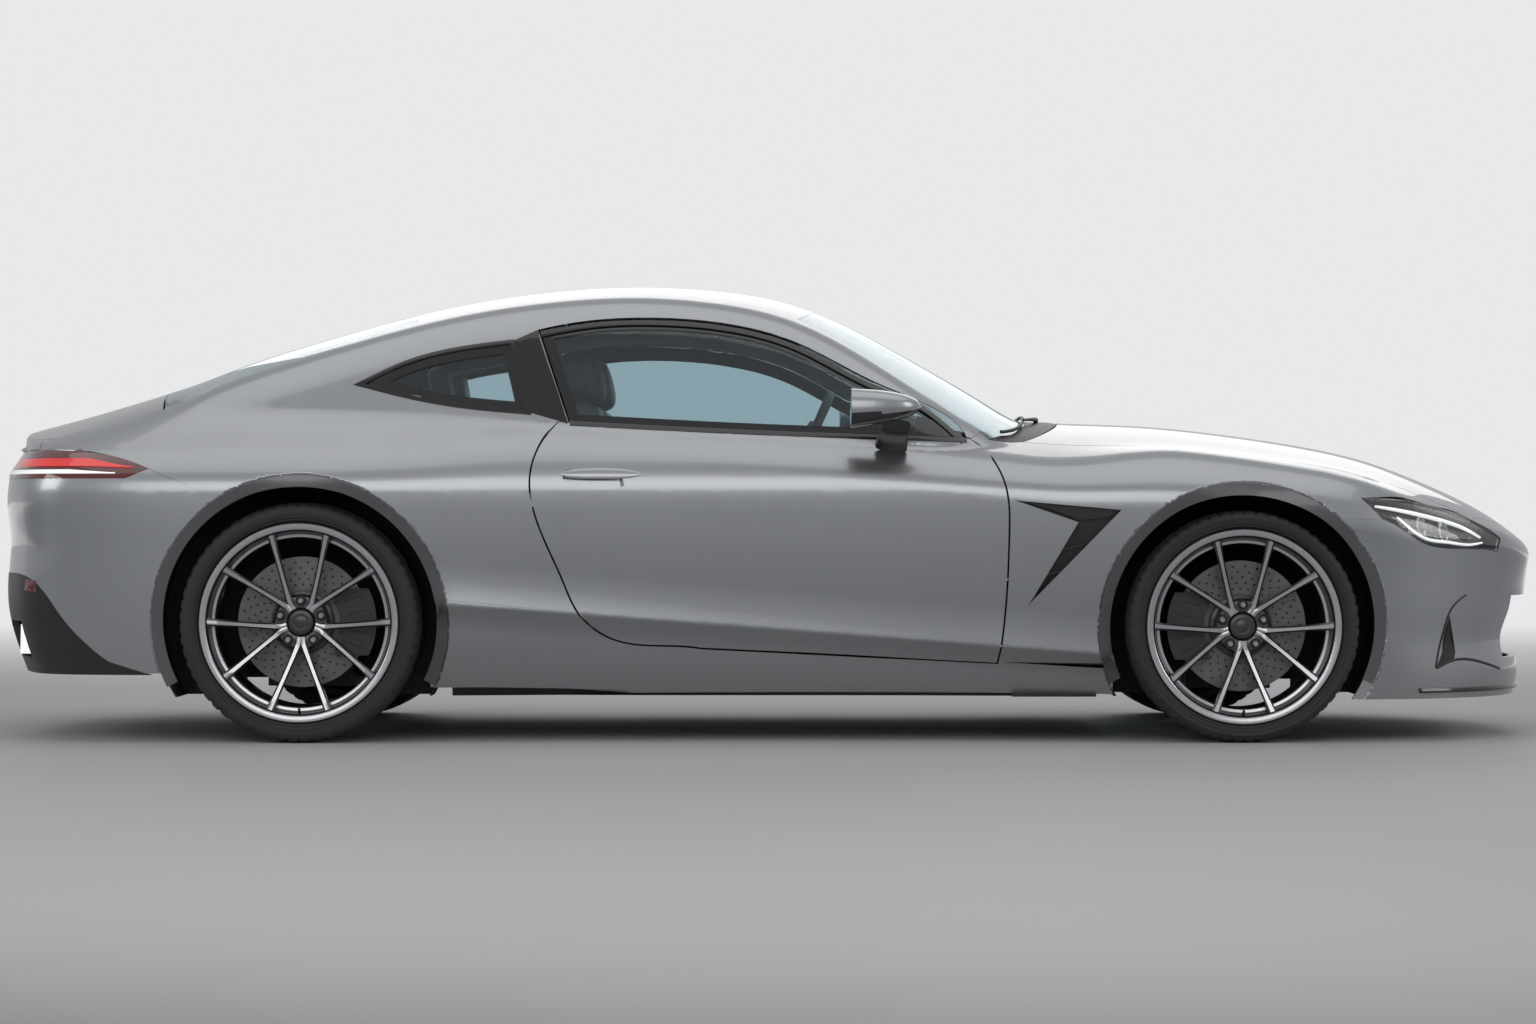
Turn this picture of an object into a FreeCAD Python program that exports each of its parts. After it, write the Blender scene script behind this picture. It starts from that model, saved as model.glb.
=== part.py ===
"""Fastback coupe: body shell, panels that open, cabin, wheels, steering and running gear.

Frame: +X towards the nose, +Y to the left, +Z up; the origin is on the ground at mid length.
All lengths are in millimetres.
"""
import FreeCAD, Part
import math
import os
from bisect import bisect_right
from FreeCAD import Vector, Placement, Rotation

doc = FreeCAD.newDocument("coupe")

# Driving dimensions
SIZES = {
    "half_wheelbase": 1400, "front_overhang": 970, "rear_overhang": 970, "half_width": 970,
    "belt_height": 935, "roof_rise": 458, "skin": 22, "wall": 60, "glass_seam": 0.6, "door_wall": 64, "roof_wall": 42,
    "glass": 5, "shut_gap": 5.5, "seam": 0.3, "hem": 24,
    "tyre_front": 344, "tyre_rear": 356, "tread_front": 268, "tread_rear": 302,
    "track_front": 808, "track_rear": 804, "rim_front": 272, "rim_rear": 278, "flange": 18, "hub_offset": 40,
    "bead_wall": 9, "hub_pad": 84, "hub_bore": 34, "cap_radius": 38, "lug_circle": 64, "lug_hole": 7.5,
    "spoke_width": 24, "spoke_depth": 34, "spoke_spread": 18.5,
    "disc_radius": 195, "disc_thick": 32, "disc_offset": 30, "arch_front": 393, "arch_rear": 404,
    "liner_gap": 30, "liner_wall": 6, "kingpin": 720,
    "axle_radius": 33.94, "floor_low": 132, "floor_wall": 46,
    "seat_width": 520, "seat_base": 250, "seat_pad": 130, "seat_back": 640, "seat_y": 375,
    "wheel_rim_radius": 182, "wheel_rim_tube": 15, "column_tilt": 24,
    "lamp_depth": 46, "grille_bar": 8, "grille_pitch": 34, "tip_width": 96, "tip_height": 88, "tip_wall": 4,
    "engine_length": 640, "engine_width": 560, "engine_height": 480,
}
sheet = doc.addObject("Spreadsheet::Sheet", "Sizes")
for row, (alias, value) in enumerate(SIZES.items(), 1):
    sheet.set("A%d" % row, alias.replace("_", " "))
    sheet.set("B%d" % row, str(value))
    sheet.setAlias("B%d" % row, alias)
doc.recompute()


def size(name):
    """A driving dimension, read from the sheet."""
    return float(getattr(sheet, name))


# The lines are drawn for these lengths, and stretch with the sheet's own
DRAWN_BASE, DRAWN_OVERHANG, DRAWN_WIDTH = 1400.0, 970.0, 970.0
DRAWN_BELT, DRAWN_RISE = 935.0, 458.0


def at_x(x):
    """Place along the car of a station of the drawn lines."""
    if x > DRAWN_BASE:
        return size("half_wheelbase") + (x - DRAWN_BASE) * size("front_overhang") / DRAWN_OVERHANG
    if x < -DRAWN_BASE:
        return -size("half_wheelbase") + (x + DRAWN_BASE) * size("rear_overhang") / DRAWN_OVERHANG
    return x * size("half_wheelbase") / DRAWN_BASE


def at_y(y):
    """Place across the car of a point of the drawn lines."""
    return y * size("half_width") / DRAWN_WIDTH


def at_z(z):
    """Height of a point of the drawn lines."""
    belt = size("belt_height")
    if z > DRAWN_BELT:
        return belt + (z - DRAWN_BELT) * size("roof_rise") / DRAWN_RISE
    return z * belt / DRAWN_BELT


def place(point):
    return Vector(at_x(point[0]), at_y(point[1]), at_z(point[2]))


class Curve:
    """Natural cubic spline through a few knots, with straight ends."""

    def __init__(self, *knots):
        self.at = [k[0] for k in knots]
        self.to = [k[1] for k in knots]
        count = len(knots)
        step = [self.at[i + 1] - self.at[i] for i in range(count - 1)]
        rise = [(self.to[i + 1] - self.to[i]) / step[i] for i in range(count - 1)]
        upper, load, bend = [0.0] * count, [0.0] * count, [0.0] * count
        for i in range(1, count - 1):
            pivot = 2 * (step[i - 1] + step[i]) - step[i - 1] * upper[i - 1]
            upper[i] = step[i] / pivot
            load[i] = (6 * (rise[i] - rise[i - 1]) - step[i - 1] * load[i - 1]) / pivot
        for i in range(count - 2, 0, -1):
            bend[i] = load[i] - upper[i] * bend[i + 1]
        self.step, self.bend = step, bend
        self.first = rise[0] - step[0] * bend[1] / 6
        self.last = rise[-1] + step[-1] * bend[-2] / 6

    def __call__(self, x):
        at, to, bend = self.at, self.to, self.bend
        if x <= at[0]:
            return to[0] + (x - at[0]) * self.first
        if x >= at[-1]:
            return to[-1] + (x - at[-1]) * self.last
        i = bisect_right(at, x) - 1
        u, v, g = x - at[i], at[i + 1] - x, self.step[i]
        cubic = (bend[i] * v ** 3 + bend[i + 1] * u ** 3) / (6 * g)
        return cubic + (to[i] / g - bend[i] * g / 6) * v + (to[i + 1] / g - bend[i + 1] * g / 6) * u


def blend_max(a, b, k):
    s = max(k - abs(a - b), 0.0)
    return max(a, b) + s * s / (4 * k)


def blend_min(a, b, k):
    s = max(k - abs(a - b), 0.0)
    return min(a, b) - s * s / (4 * k)


def ramp(x, a, b):
    u = min(max((x - a) / (b - a), 0.0), 1.0)
    return u * u * (3 - 2 * u)


# Half width at the shoulder line, along the car
WIDTH = Curve((-2250, 858), (-2000, 930), (-1700, 962), (-1400, 970), (-1000, 957), (-600, 941), (0, 933),
              (600, 935), (1000, 943), (1400, 950), (1700, 937), (1900, 892), (2100, 800), (2250, 690))
# Centreline of the lower body's top: tail, under the cabin, cowl, hood, nose
DECK = Curve((-2335, 934), (-2141, 984), (-2013, 1010), (-1886, 1028), (-1650, 1040), (-1200, 1045),
             (-640, 1040), (0, 1015), (590, 985), (920, 965), (1175, 955), (1430, 929), (1685, 890),
             (1870, 847), (2020, 792), (2160, 729), (2259, 671), (2330, 615), (2400, 548))
# Centreline of the cabin's top: backlight, roof, windscreen
ROOF = Curve((-2250, 850), (-2013, 985), (-1886, 1047), (-1695, 1133), (-1440, 1217), (-1184, 1289),
             (-929, 1346), (-674, 1381), (-419, 1395), (-164, 1382), (30, 1350), (155, 1309), (410, 1182),
             (665, 1036), (792, 958), (950, 860))
# Fall of the top to the sides, in millimetres at one metre off the centreline
CROWN = Curve((-2300, 160), (-1400, 130), (0, 130), (700, 185), (1200, 195), (2300, 195))
GLASS_CROWN = Curve((-1900, 200), (-1000, 195), (0, 220), (200, 245), (800, 250))
# Profiles of the nose and tail on the centreline, by height
NOSE = Curve((100, 2312), (212, 2334), (308, 2322), (380, 2345), (499, 2364), (600, 2384), (750, 2392))
TAIL = Curve((150, -2290), (276, -2339), (443, -2372), (600, -2363), (690, -2372), (760, -2370),
             (834, -2341), (885, -2316), (945, -2345))
# Half width of the cabin at the belt line
CABIN = Curve((-2100, 700), (-1845, 730), (-1662, 742), (-1400, 762), (-1000, 786), (-600, 800), (300, 800),
              (500, 792), (651, 757), (800, 690), (1000, 560))
SHOULDER, CABIN_LEAN, CABIN_FLOOR = 740.0, 0.457, 850.0


def crease_z(x):
    """Height of the sharp crease low on the door and skirt."""
    return 380 - 0.076 * (x + 569)


def side_y(x, z):
    """Half width of the lower body."""
    lean = 130 + (70 * ramp(-x, 700, 1400) if x < 0 else 60 * ramp(x, 700, 1400))
    up = max(z - SHOULDER, 0.0) / 200
    down = max(SHOULDER - z, 0.0) / 310
    y = WIDTH(x) - lean * up * up - 38 * down * down * (1 - 0.6 * ramp(abs(x), 1000, 1250))
    off = z - crease_z(x)
    reach = 115 if off > 0 else 70
    between_arches = 1 - ramp(abs(x - 20), 950, 1150)
    return y + 26 * between_arches * max(0.0, 1 - (math.hypot(off, 8) - 8) / reach)


def lower_body(x, y, z, ended=True):
    """Signed distance, roughly, to the lower body: flanks, deck, nose and tail."""
    a = abs(y)
    crest = 40 * ramp(x, 800, 1250) * (1 - ramp(x, 1650, 2050)) * math.exp(-((a - 820) / 150) ** 2)
    top = DECK(x) - CROWN(x) * 1e-6 * a * a + crest
    flank = a - side_y(x, z)
    if ended:
        end = x - NOSE(z) + 520 * (a / 940) ** 3.2 if x > 0 else TAIL(z) + 230 * (a / 940) ** 3.2 - x
        flank = blend_max(flank, end, 80)
    return blend_max(flank, z - top, 100 - 75 * ramp(-x, 2000, 2300) - 60 * ramp(x, 1900, 2300))


def cabin(x, y, z):
    """Signed distance, roughly, to the cabin: side glass, windscreen, roof and backlight."""
    side = abs(y) - CABIN(x) + CABIN_LEAN * (max(z, 890.0) - DRAWN_BELT)
    top = z - ROOF(x) + GLASS_CROWN(x) * 1e-6 * y * y
    return max(blend_max(side, top, 90), CABIN_FLOOR - z)


def body(x, y, z, ended=True):
    """The whole outer skin is where this is zero; without its ends the deck and hood run on."""
    return blend_min(lower_body(x, y, z, ended), cabin(x, y, z), 15 + 85 * ramp(-x, 650, 1400))


def endless(x, y, z):
    return body(x, y, z, False)


def cast(start, way, form=body, far=1900.0):
    """Point where a ray from inside the drawn form meets its surface."""
    near, near_f = 0.0, form(*start)
    end_f = form(*[c + w * far for c, w in zip(start, way)])
    for turn in range(48):
        at = near - near_f * (far - near) / (end_f - near_f) if turn % 3 else (near + far) / 2
        point = [c + w * at for c, w in zip(start, way)]
        value = form(*point)
        if abs(value) < 0.002:
            break
        if value < 0:
            near, near_f = at, value
        else:
            far, end_f = at, value
    return point


def inward(point, depth, form=body):
    """The point a depth below the surface, along its normal."""
    step = 40.0
    slope = []
    for axis in range(3):
        ahead, behind = list(point), list(point)
        ahead[axis] += step
        behind[axis] -= step
        slope.append(form(*ahead) - form(*behind))
    length = math.sqrt(sum(s * s for s in slope))
    return [p - depth * s / length for p, s in zip(point, slope)]


def spread(first, last, count):
    return [first + (last - first) * i / (count - 1) for i in range(count)]


def slab(rays, outer, inner, form=body):
    """Solid between two depths below the surface, over a grid of rays (start, way)."""
    skins = []
    points = [[cast(start, way, form) for start, way in line] for line in rays]
    for depth in (outer, inner):
        grid = [[place(inward(p, depth, form) if depth else p) for p in line] for line in points]
        surface = Part.BSplineSurface()
        surface.interpolate(grid)
        skins.append(surface)
    faces = [s.toShape() for s in skins]
    for top_edge, low_edge in zip(faces[0].OuterWire.Edges, faces[1].OuterWire.Edges):
        faces.append(Part.makeRuledSurface(top_edge, low_edge))
    shell = Part.Shell(faces)
    shell.sewShape()
    solid = Part.Solid(shell)
    if solid.Volume < 0:
        solid.reverse()
    return solid


def flank_slab(first, last, stations, low, high, steps, outer, inner):
    """Slab of the right flank: rays fan out in planes across the car."""
    rays = []
    for x in spread(first, last, stations):
        line = []
        for angle in spread(low, high, steps):
            a = math.radians(angle)
            line.append(((x, 0.0, 700.0), (0.0, -math.cos(a), math.sin(a))))
        rays.append(line)
    return slab(rays, outer, inner)


def top_slab(first, last, stations, half, steps, outer, inner):
    """Slab of the top, over both sides: rays go straight up."""
    rays = []
    for x in spread(first, last, stations):
        reach = min(half, 0.95 * side_y(x, 600))
        rays.append([((x, y, 480.0), (0.0, 0.0, 1.0)) for y in spread(-reach, reach, steps)])
    return slab(rays, outer, inner, endless)


def end_slab(centre, facing, fan, low, high, columns, rows, outer, inner):
    """Slab of the nose or tail: rays fan out from a point between the wheels."""
    rays = []
    for turn in spread(-fan, fan, columns):
        line = []
        for lift in spread(low, high, rows):
            t, e = math.radians(turn), math.radians(lift)
            line.append((centre, (facing * math.cos(t) * math.cos(e), math.sin(t) * math.cos(e), math.sin(e))))
        rays.append(line)
    return slab(rays, outer, inner)


def run_curve(points):
    """The curve through the points of one run: a line for two points, else a spline."""
    if len(points) == 2:
        return Part.LineSegment(points[0], points[1])
    curve = Part.BSplineCurve()
    curve.interpolate(points)
    return curve


def corner(point, before, after, way):
    """Where two offset tangents meet beside a corner."""
    turn = before.x * after.y - before.y * after.x
    shift = Vector(before.y, -before.x, 0) * way
    if abs(turn) < 0.05:
        return point + shift
    other = Vector(after.y, -after.x, 0) * way - shift
    return point + shift + before * ((other.x * after.y - other.y * after.x) / turn)


def outline(runs, flat, grow=0.0):
    """Closed wire through the runs in turn, each from the last one's end, grown outwards."""
    lists = []
    last = flat(runs[-1][-1])
    for run in runs:
        points = [flat(p) for p in run]
        if points[0].distanceToPoint(last) > 0.01:
            points.insert(0, last)
        last = points[-1]
        if len(points) > 1:
            lists.append(points)
    curves = [run_curve(points) for points in lists]
    if grow:
        area = sum(a.x * b.y - b.x * a.y for points in lists for a, b in zip(points, points[1:]))
        way = grow if area > 0 else -grow
        grown = []
        for i, (points, curve) in enumerate(zip(lists, curves)):
            before, after = curves[i - 1], curves[(i + 1) % len(curves)]
            start = curve.tangent(curve.FirstParameter)[0]
            finish = curve.tangent(curve.LastParameter)[0]
            first = corner(points[0], before.tangent(before.LastParameter)[0], start, way)
            final = corner(points[-1], finish, after.tangent(after.FirstParameter)[0], way)
            middle = []
            for p in points[1:-1]:
                along = curve.tangent(curve.parameter(p))[0]
                middle.append(p + Vector(along.y, -along.x, 0) * way)
            grown.append([first] + middle + [final])
        curves = [run_curve(points) for points in grown]
    return Part.Wire([curve.toShape() for curve in curves])


def side_flat(p):
    return Vector(at_x(p[0]), at_z(p[1]), 0)


def plan_flat(p):
    return Vector(at_x(p[0]), at_y(p[1]), 0)


def side_prism(runs, grow=0.0, near=-1200.0, far=-20.0):
    """Prism across the right half of the car on an outline drawn in side view."""
    face = Part.Face(outline(runs, side_flat, grow))
    face.rotate(Vector(0, 0, 0), Vector(1, 0, 0), 90)
    face.translate(Vector(0, near, 0))
    return face.extrude(Vector(0, far - near, 0))


def plan_prism(runs, grow=0.0, low=400.0, high=1600.0):
    """Upright prism on an outline drawn in plan."""
    face = Part.Face(outline(runs, plan_flat, grow))
    face.translate(Vector(0, 0, low))
    return face.extrude(Vector(0, 0, high - low))


def drum(x, z, radius, near, far):
    """Cylinder across the car between two places in y."""
    return Part.makeCylinder(radius, far - near, Vector(x, near, z), Vector(0, 1, 0))


def box(x0, y0, z0, x1, y1, z1):
    return Part.makeBox(x1 - x0, y1 - y0, z1 - z0, Vector(x0, y0, z0))


def left_of(shape):
    """The other side's copy of a right-hand shape."""
    return shape.mirror(Vector(0, 0, 0), Vector(0, 1, 0))


def largest(shape):
    return max(shape.Solids, key=lambda s: s.Volume)


nodes = {}


def keep(name, shape):
    """A free-form sub-part, whose shape is worked out from the sheet."""
    item = doc.addObject("Part::Feature", name)
    item.Label = name
    item.Shape = shape
    nodes[name] = item
    return item

skin, wall, seam, gap = size("skin"), size("wall"), size("seam"), size("shut_gap")
front_x, rear_x = size("half_wheelbase"), -size("half_wheelbase")

# Outlines of the panels, as runs of points of the drawn lines: side views are (x, z), plans are (x, y)
DOOR_FRONT = [(671, 234), (681, 291), (694, 419), (701, 617), (698, 721), (670, 816), (590, 903)]
DOOR_BELT = [(237, 914), (-243, 934), (-637, 951)]
DOOR_REAR = [(-685, 888), (-714, 780), (-700, 681), (-621, 490), (-573, 387), (-526, 335), (-446, 299),
             (-327, 288), (-213, 280)]
DOOR = [DOOR_FRONT, DOOR_BELT, DOOR_REAR, [(671, 234)]]
SIDE_GLASS_TOP = [(455, 1008), (295, 1078), (79, 1190), (-137, 1250), (-354, 1268), (-560, 1258), (-700, 1232)]
SIDE_GLASS = [[(582, 900)] + SIDE_GLASS_TOP, [(-602, 950)], [(-243, 930), (237, 910), (582, 900)]]
SIDE_OPENING = [[(582, 860)], [(582, 900)] + SIDE_GLASS_TOP, [(-602, 950)], [(-602, 860)], [(582, 860)]]
QUARTER_GLASS = [[(-1226, 1071), (-1100, 1130), (-960, 1168), (-790, 1192)], [(-737, 989)],
                 [(-900, 1004), (-1060, 1030), (-1226, 1071)]]
WINDSCREEN_HALF = [[(135, 0), (125, -260), (78, -520)], [(266, -592), (460, -664), (655, -722)],
                   [(750, -500), (790, -260), (800, 0)]]
ROOF_HALF = [[(-1092, 0), (-1090, -260), (-1083, -520)], [(-700, -536), (-300, -536), (78, -520)],
             [(125, -260), (135, 0)]]
BACKLIGHT_HALF = [[(-1886, 0), (-1876, -330), (-1845, -632)], [(-1662, -606), (-1400, -566), (-1083, -520)],
                  [(-1090, -260), (-1092, 0)]]
BOOT_HALF = [[(-2322, 0), (-2304, -330), (-2240, -590), (-2150, -694)], [(-2007, -672), (-1845, -640)],
             [(-1876, -330), (-1886, 0)]]
HOOD_HALF = [[(905, 0), (880, -330), (765, -640)], [(1200, -652), (1700, -652), (2118, -640)],
             [(2245, -420), (2312, -200), (2326, 0)]]
COWL_HALF = [[(800, 0), (790, -260), (750, -500), (655, -722)], [(759, -644)], [(874, -333), (899, 0)]]
HEADLAMP = [[(1751, 728), (1890, 721), (1999, 700), (2109, 666), (2203, 603)], [(2191, 564)],
            [(2011, 576), (1948, 588), (1884, 624), (1812, 662)], [(1751, 728)]]
TAIL_LAMP = [[(-2430, 874), (-2202, 870), (-1949, 848), (-1847, 813)], [(-1914, 783)], [(-2430, 783)],
             [(-2430, 874)]]
FENDER = [DOOR_FRONT[:-1] + [(590, 903)], [(665, 938)], [(665, 1080)], [(2135, 1080)], [(2135, 668)],
          [(1812, 662)], [(1638, 663)], [(1500, 215)], [(671, 234)]]
BODY_SIDE = [[(-1611, 711)], [(-1850, 815)], [(-1949, 848), (-2202, 870)], [(-2215, 1080)], [(-1000, 1460)],
             [(665, 1460)], [(665, 938)], [(590, 903)], [(500, 300)], [(-571, 384)], [(-998, 428)],
             [(-1611, 428)], [(-1611, 711)]]
SKIRT = [[(-1020, 430)], [(-571, 384)], [(-500, 320)], [(-213, 280)], [(671, 234)], [(1020, 214)], [(1020, 137)],
         [(-1020, 158)], [(-1020, 430)]]
DIFFUSER = [[(-2280, 500), (-2180, 460), (-2110, 370), (-2030, 285), (-1970, 240)], [(-1840, 200)],
            [(-1840, 100)], [(-2450, 100)], [(-2450, 500)], [(-2280, 500)]]


def both_sides(half):
    """Runs of a plan outline over both sides: the half starts and ends on the centreline."""
    full = [half[0]] + [[before[-1]] + run for before, run in zip(half, half[1:])]
    mirrored = [[(x, -y) for x, y in reversed(run)] for run in reversed(full)]
    return [mirrored[-1][:-1] + full[0]] + full[1:-1] + [full[-1] + mirrored[0][1:]] + mirrored[1:-1]


def panel(half, grow=0.0, low=400.0):
    return plan_prism(both_sides(half), grow, low)


hood_zone = panel(HOOD_HALF, gap)
boot_zone = panel(BOOT_HALF, gap)
top_zone = [panel(half, size("glass_seam")) for half in (WINDSCREEN_HALF, ROOF_HALF, BACKLIGHT_HALF, COWL_HALF)]
arches = {}
for end, wheel_x in (("front", front_x), ("rear", rear_x)):
    arches[end] = drum(wheel_x, size("tyre_" + end), size("arch_" + end), -1300, 1300)

# Top panels
glass_low = 0.4 + size("glass")
roof = top_slab(-1120, 160, 14, 560, 11, 0, size("roof_wall"))
keep("roof", largest(roof.common(panel(ROOF_HALF))))
keep("windscreen", largest(top_slab(50, 830, 9, 740, 13, 0.4, glass_low).common(panel(WINDSCREEN_HALF))))
under_glass = top_slab(50, 830, 9, 740, 13, -300, glass_low + 6)
keep("rear_window", largest(top_slab(-1920, -1060, 10, 660, 13, 0.4, glass_low).common(panel(BACKLIGHT_HALF)).cut([boot_zone])))
keep("boot_lid", largest(top_slab(-2338, -1800, 8, 720, 11, 0, skin).common(panel(BOOT_HALF))))
keep("hood", largest(top_slab(740, 2338, 18, 680, 11, 0, skin).common(panel(HOOD_HALF))))
cowl = top_slab(620, 940, 7, 760, 11, 0, skin).common(panel(COWL_HALF))
hinge_slab = top_slab(740, 2338, 18, 680, 11, skin + seam, skin + 40)
hinge_base = top_slab(620, 940, 7, 760, 11, 4, skin + 40).common(panel(COWL_HALF))
for y in (-590, 540):
    leaf = hinge_slab.common(box(745, y, 600, 850, y + 50, 1100))
    cowl = cowl.fuse([leaf, hinge_base.common(box(700, y, 600, 850, y + 50, 1100))])
keep("cowl", largest(cowl))

# Right flank: body side, skirt, fender, door
flank = flank_slab(-2215, 720, 40, -38, 56, 22, 0, wall)
side_opening = side_prism(SIDE_OPENING, gap)
door_opening = side_prism(DOOR, gap)
quarter_opening = side_prism(QUARTER_GLASS, seam)
body_side = flank.common(side_prism(BODY_SIDE))
tail_lamp_zone = side_prism(TAIL_LAMP, seam, -1200, -430)
body_side = body_side.cut([side_opening, door_opening, quarter_opening, boot_zone, tail_lamp_zone, arches["rear"]])
body_side = body_side.cut(top_zone)
near_hem = flank_slab(-2215, 720, 40, -38, 56, 22, size("hem") + 3 * seam, wall)
under_lid = flank_slab(-2215, 720, 40, -38, 56, 22, skin + seam, wall)
door_stop = near_hem.common(box(-760, -1200, 700, -693, -700, 740))
lid_hinge = under_lid.common(box(-1985, -706, 800, -1905, -640, 1100))
body_side = largest(body_side.fuse([door_stop, lid_hinge]))
keep("body_side_right", body_side)
keep("body_side_left", left_of(body_side))
skirt = flank_slab(-1040, 1040, 20, -35, -8, 10, 0, wall).common(side_prism(SKIRT))
skirt = skirt.cut([door_opening, arches["rear"], arches["front"], side_prism(BODY_SIDE, seam),
                   side_prism(FENDER, seam)])
skirt = largest(skirt)
keep("side_skirts", Part.Compound([skirt, left_of(skirt)]))
fender = flank_slab(560, 2150, 24, -36, 40, 18, 0, skin)
lamp_zone = side_prism(HEADLAMP, seam)
fender_inner = flank_slab(560, 2150, 24, -36, 40, 18, -90, skin + seam)
fender = fender.common(side_prism(FENDER, 0, -1200, -560))
fender = largest(fender.cut([hood_zone, lamp_zone, door_opening, arches["front"]] + top_zone))
keep("fender_right", fender)
keep("fender_left", left_of(fender))
door_skin = flank_slab(-780, 760, 20, -31, 19, 15, 0, size("hem")).common(side_prism(DOOR))
door_core = flank_slab(-780, 760, 20, -31, 19, 15, size("hem"), size("door_wall"))
door_core = door_core.common(side_prism(DOOR, -size("hem")))
door = largest(door_skin.fuse(door_core))
glazing = flank_slab(-1300, 640, 24, 8, 50, 12, 6, 6 + size("glass"))
door_glass = largest(glazing.common(side_prism(SIDE_GLASS)).cut(side_prism(DOOR, 0.2)))
quarter = largest(glazing.common(side_prism(QUARTER_GLASS)))
keep("door_right", door)
keep("door_left", left_of(door))
keep("door_glass_right", door_glass)
keep("door_glass_left", left_of(door_glass))
keep("quarter_windows", Part.Compound([quarter, left_of(quarter)]))

# Nose
nose = end_slab((1400.0, 0.0, 350.0), 1, 104, -20, 28, 33, 12, 0, skin)
lamp_body = end_slab((1400.0, 0.0, 350.0), 1, 80, 0, 28, 27, 8, 0, size("lamp_depth"))
fender_zone = side_prism(FENDER, seam)
nose_cuts = [hood_zone, lamp_zone, left_of(lamp_zone), fender_zone, left_of(fender_zone), arches["front"]]
grille_zone = box(at_x(2150), -at_y(560), at_z(240), at_x(2420), at_y(560), at_z(430))
nose_cuts += [grille_zone, box(1000, -1200, -400, 2600, 1200, size("floor_low") - 6)]
nose = largest(nose.cut(nose_cuts))
keep("front_bumper", nose)
lamp = largest(lamp_body.common(side_prism(HEADLAMP)).cut([hood_zone]))
keep("headlamps", Part.Compound([lamp, left_of(lamp)]))

# Tail
tail_skin = end_slab((-1400.0, 0.0, 450.0), -1, 104, -24, 34, 33, 12, 0, skin)
tail_inside = end_slab((-1400.0, 0.0, 450.0), -1, 104, -24, 34, 33, 12, skin, 500)
tail_lamp_body = end_slab((-1400.0, 0.0, 450.0), -1, 90, 8, 34, 27, 8, 0, size("lamp_depth"))
side_zone = side_prism(BODY_SIDE, seam)
diffuser_zone = side_prism(DIFFUSER, seam, -1200, 1200)
tail = tail_skin.cut([box(-2600, -1200, -400, -1000, 1200, 205), boot_zone, tail_lamp_zone,
                      left_of(tail_lamp_zone), side_zone, left_of(side_zone), arches["rear"], diffuser_zone])
tail = largest(tail)
keep("rear_bumper", tail)
tail_lamp = largest(tail_lamp_body.common(side_prism(TAIL_LAMP, 0, -1200, -430 - seam)).cut([boot_zone]))
keep("tail_lamps", Part.Compound([tail_lamp, left_of(tail_lamp)]))

# Under the tail: skin with room for the pipes, a sloping tray and upright fins
tip_low, tip_y = 258, 520
boot_low, boot_high = 396, 412


def tip_zone(grow):
    """Room for one side's pair of exhaust tips."""
    reach = size("tip_width") * 2 + 14 + grow
    return box(-2500, -tip_y - reach, tip_low - grow, -2000, -tip_y + grow, tip_low + size("tip_height") + grow)


diffuser = tail_skin.common(side_prism(DIFFUSER, 0, -1200, 1200)).common(box(-2600, -1200, 200, -1500, 1200, 600))
tray = Part.Face(Part.makePolygon([Vector(x, -800, z) for x, z in
                                   ((-1840, 202), (-2335, 300), (-2335, 318), (-1840, 220), (-1840, 202))]))
diffuser = diffuser.fuse(tray.extrude(Vector(0, 1600, 0)).common(tail_inside))
for y in (-330, -110, 110, 330):
    fin = Part.Face(Part.makePolygon([Vector(x, y - 6, z) for x, z in
                                      ((-1900, 214), (-2318, 222), (-2318, 400), (-2290, 330), (-1900, 214))]))
    diffuser = diffuser.fuse(fin.extrude(Vector(0, 12, 0)))
diffuser = largest(diffuser.cut([tip_zone(10), left_of(tip_zone(10)), arches["rear"]]))
keep("diffuser", diffuser)


def tip(y):
    """One hollow trapezoid tail pipe, wider at the foot, with its inner corner at y."""
    wide, tall, thick = size("tip_width"), size("tip_height"), size("tip_wall")

    def ring(inset):
        corners = [(y - inset, tip_low + inset), (y - wide + inset, tip_low + inset),
                   (y - wide + 12 + inset, tip_low + tall - inset), (y - 12 - inset, tip_low + tall - inset)]
        wire = Part.makePolygon([Vector(-2262, a, b) for a, b in corners + corners[:1]])
        return Part.Face(wire).extrude(Vector(202, 0, 0))
    return ring(0).cut(ring(thick).translated(Vector(-2, 0, 0)))


muffler = box(-2062, -760, 250, -1860, -470, 370)
muffler = muffler.makeFillet(30, [e for e in muffler.Edges if abs(e.tangentAt(e.FirstParameter).y) > 0.9])
muffler = muffler.fuse(box(-1976, -580, 360, -1944, -530, boot_low - seam))
exhaust = muffler.fuse([tip(-tip_y), tip(-tip_y - size("tip_width") - 14)])
keep("exhaust", Part.Compound([exhaust, left_of(exhaust)]))

# Grille
bars = [box(2192, -574, 226, 2216, 574, 444).cut(box(2180, -562, 238, 2230, 562, 432))]
z = 238 + size("grille_pitch") - size("grille_bar")
while z < 432 - size("grille_bar"):
    bars.append(box(2194, -563, z, 2214, 563, z + size("grille_bar")))
    z += size("grille_pitch")
for y in (-380, -190, 0, 190, 380):
    bars.append(box(2194, y - 5, 237, 2210, y + 5, 433))
grille = bars[0].fuse(bars[1:]).cut(nose)
keep("grille", largest(grille))

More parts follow.
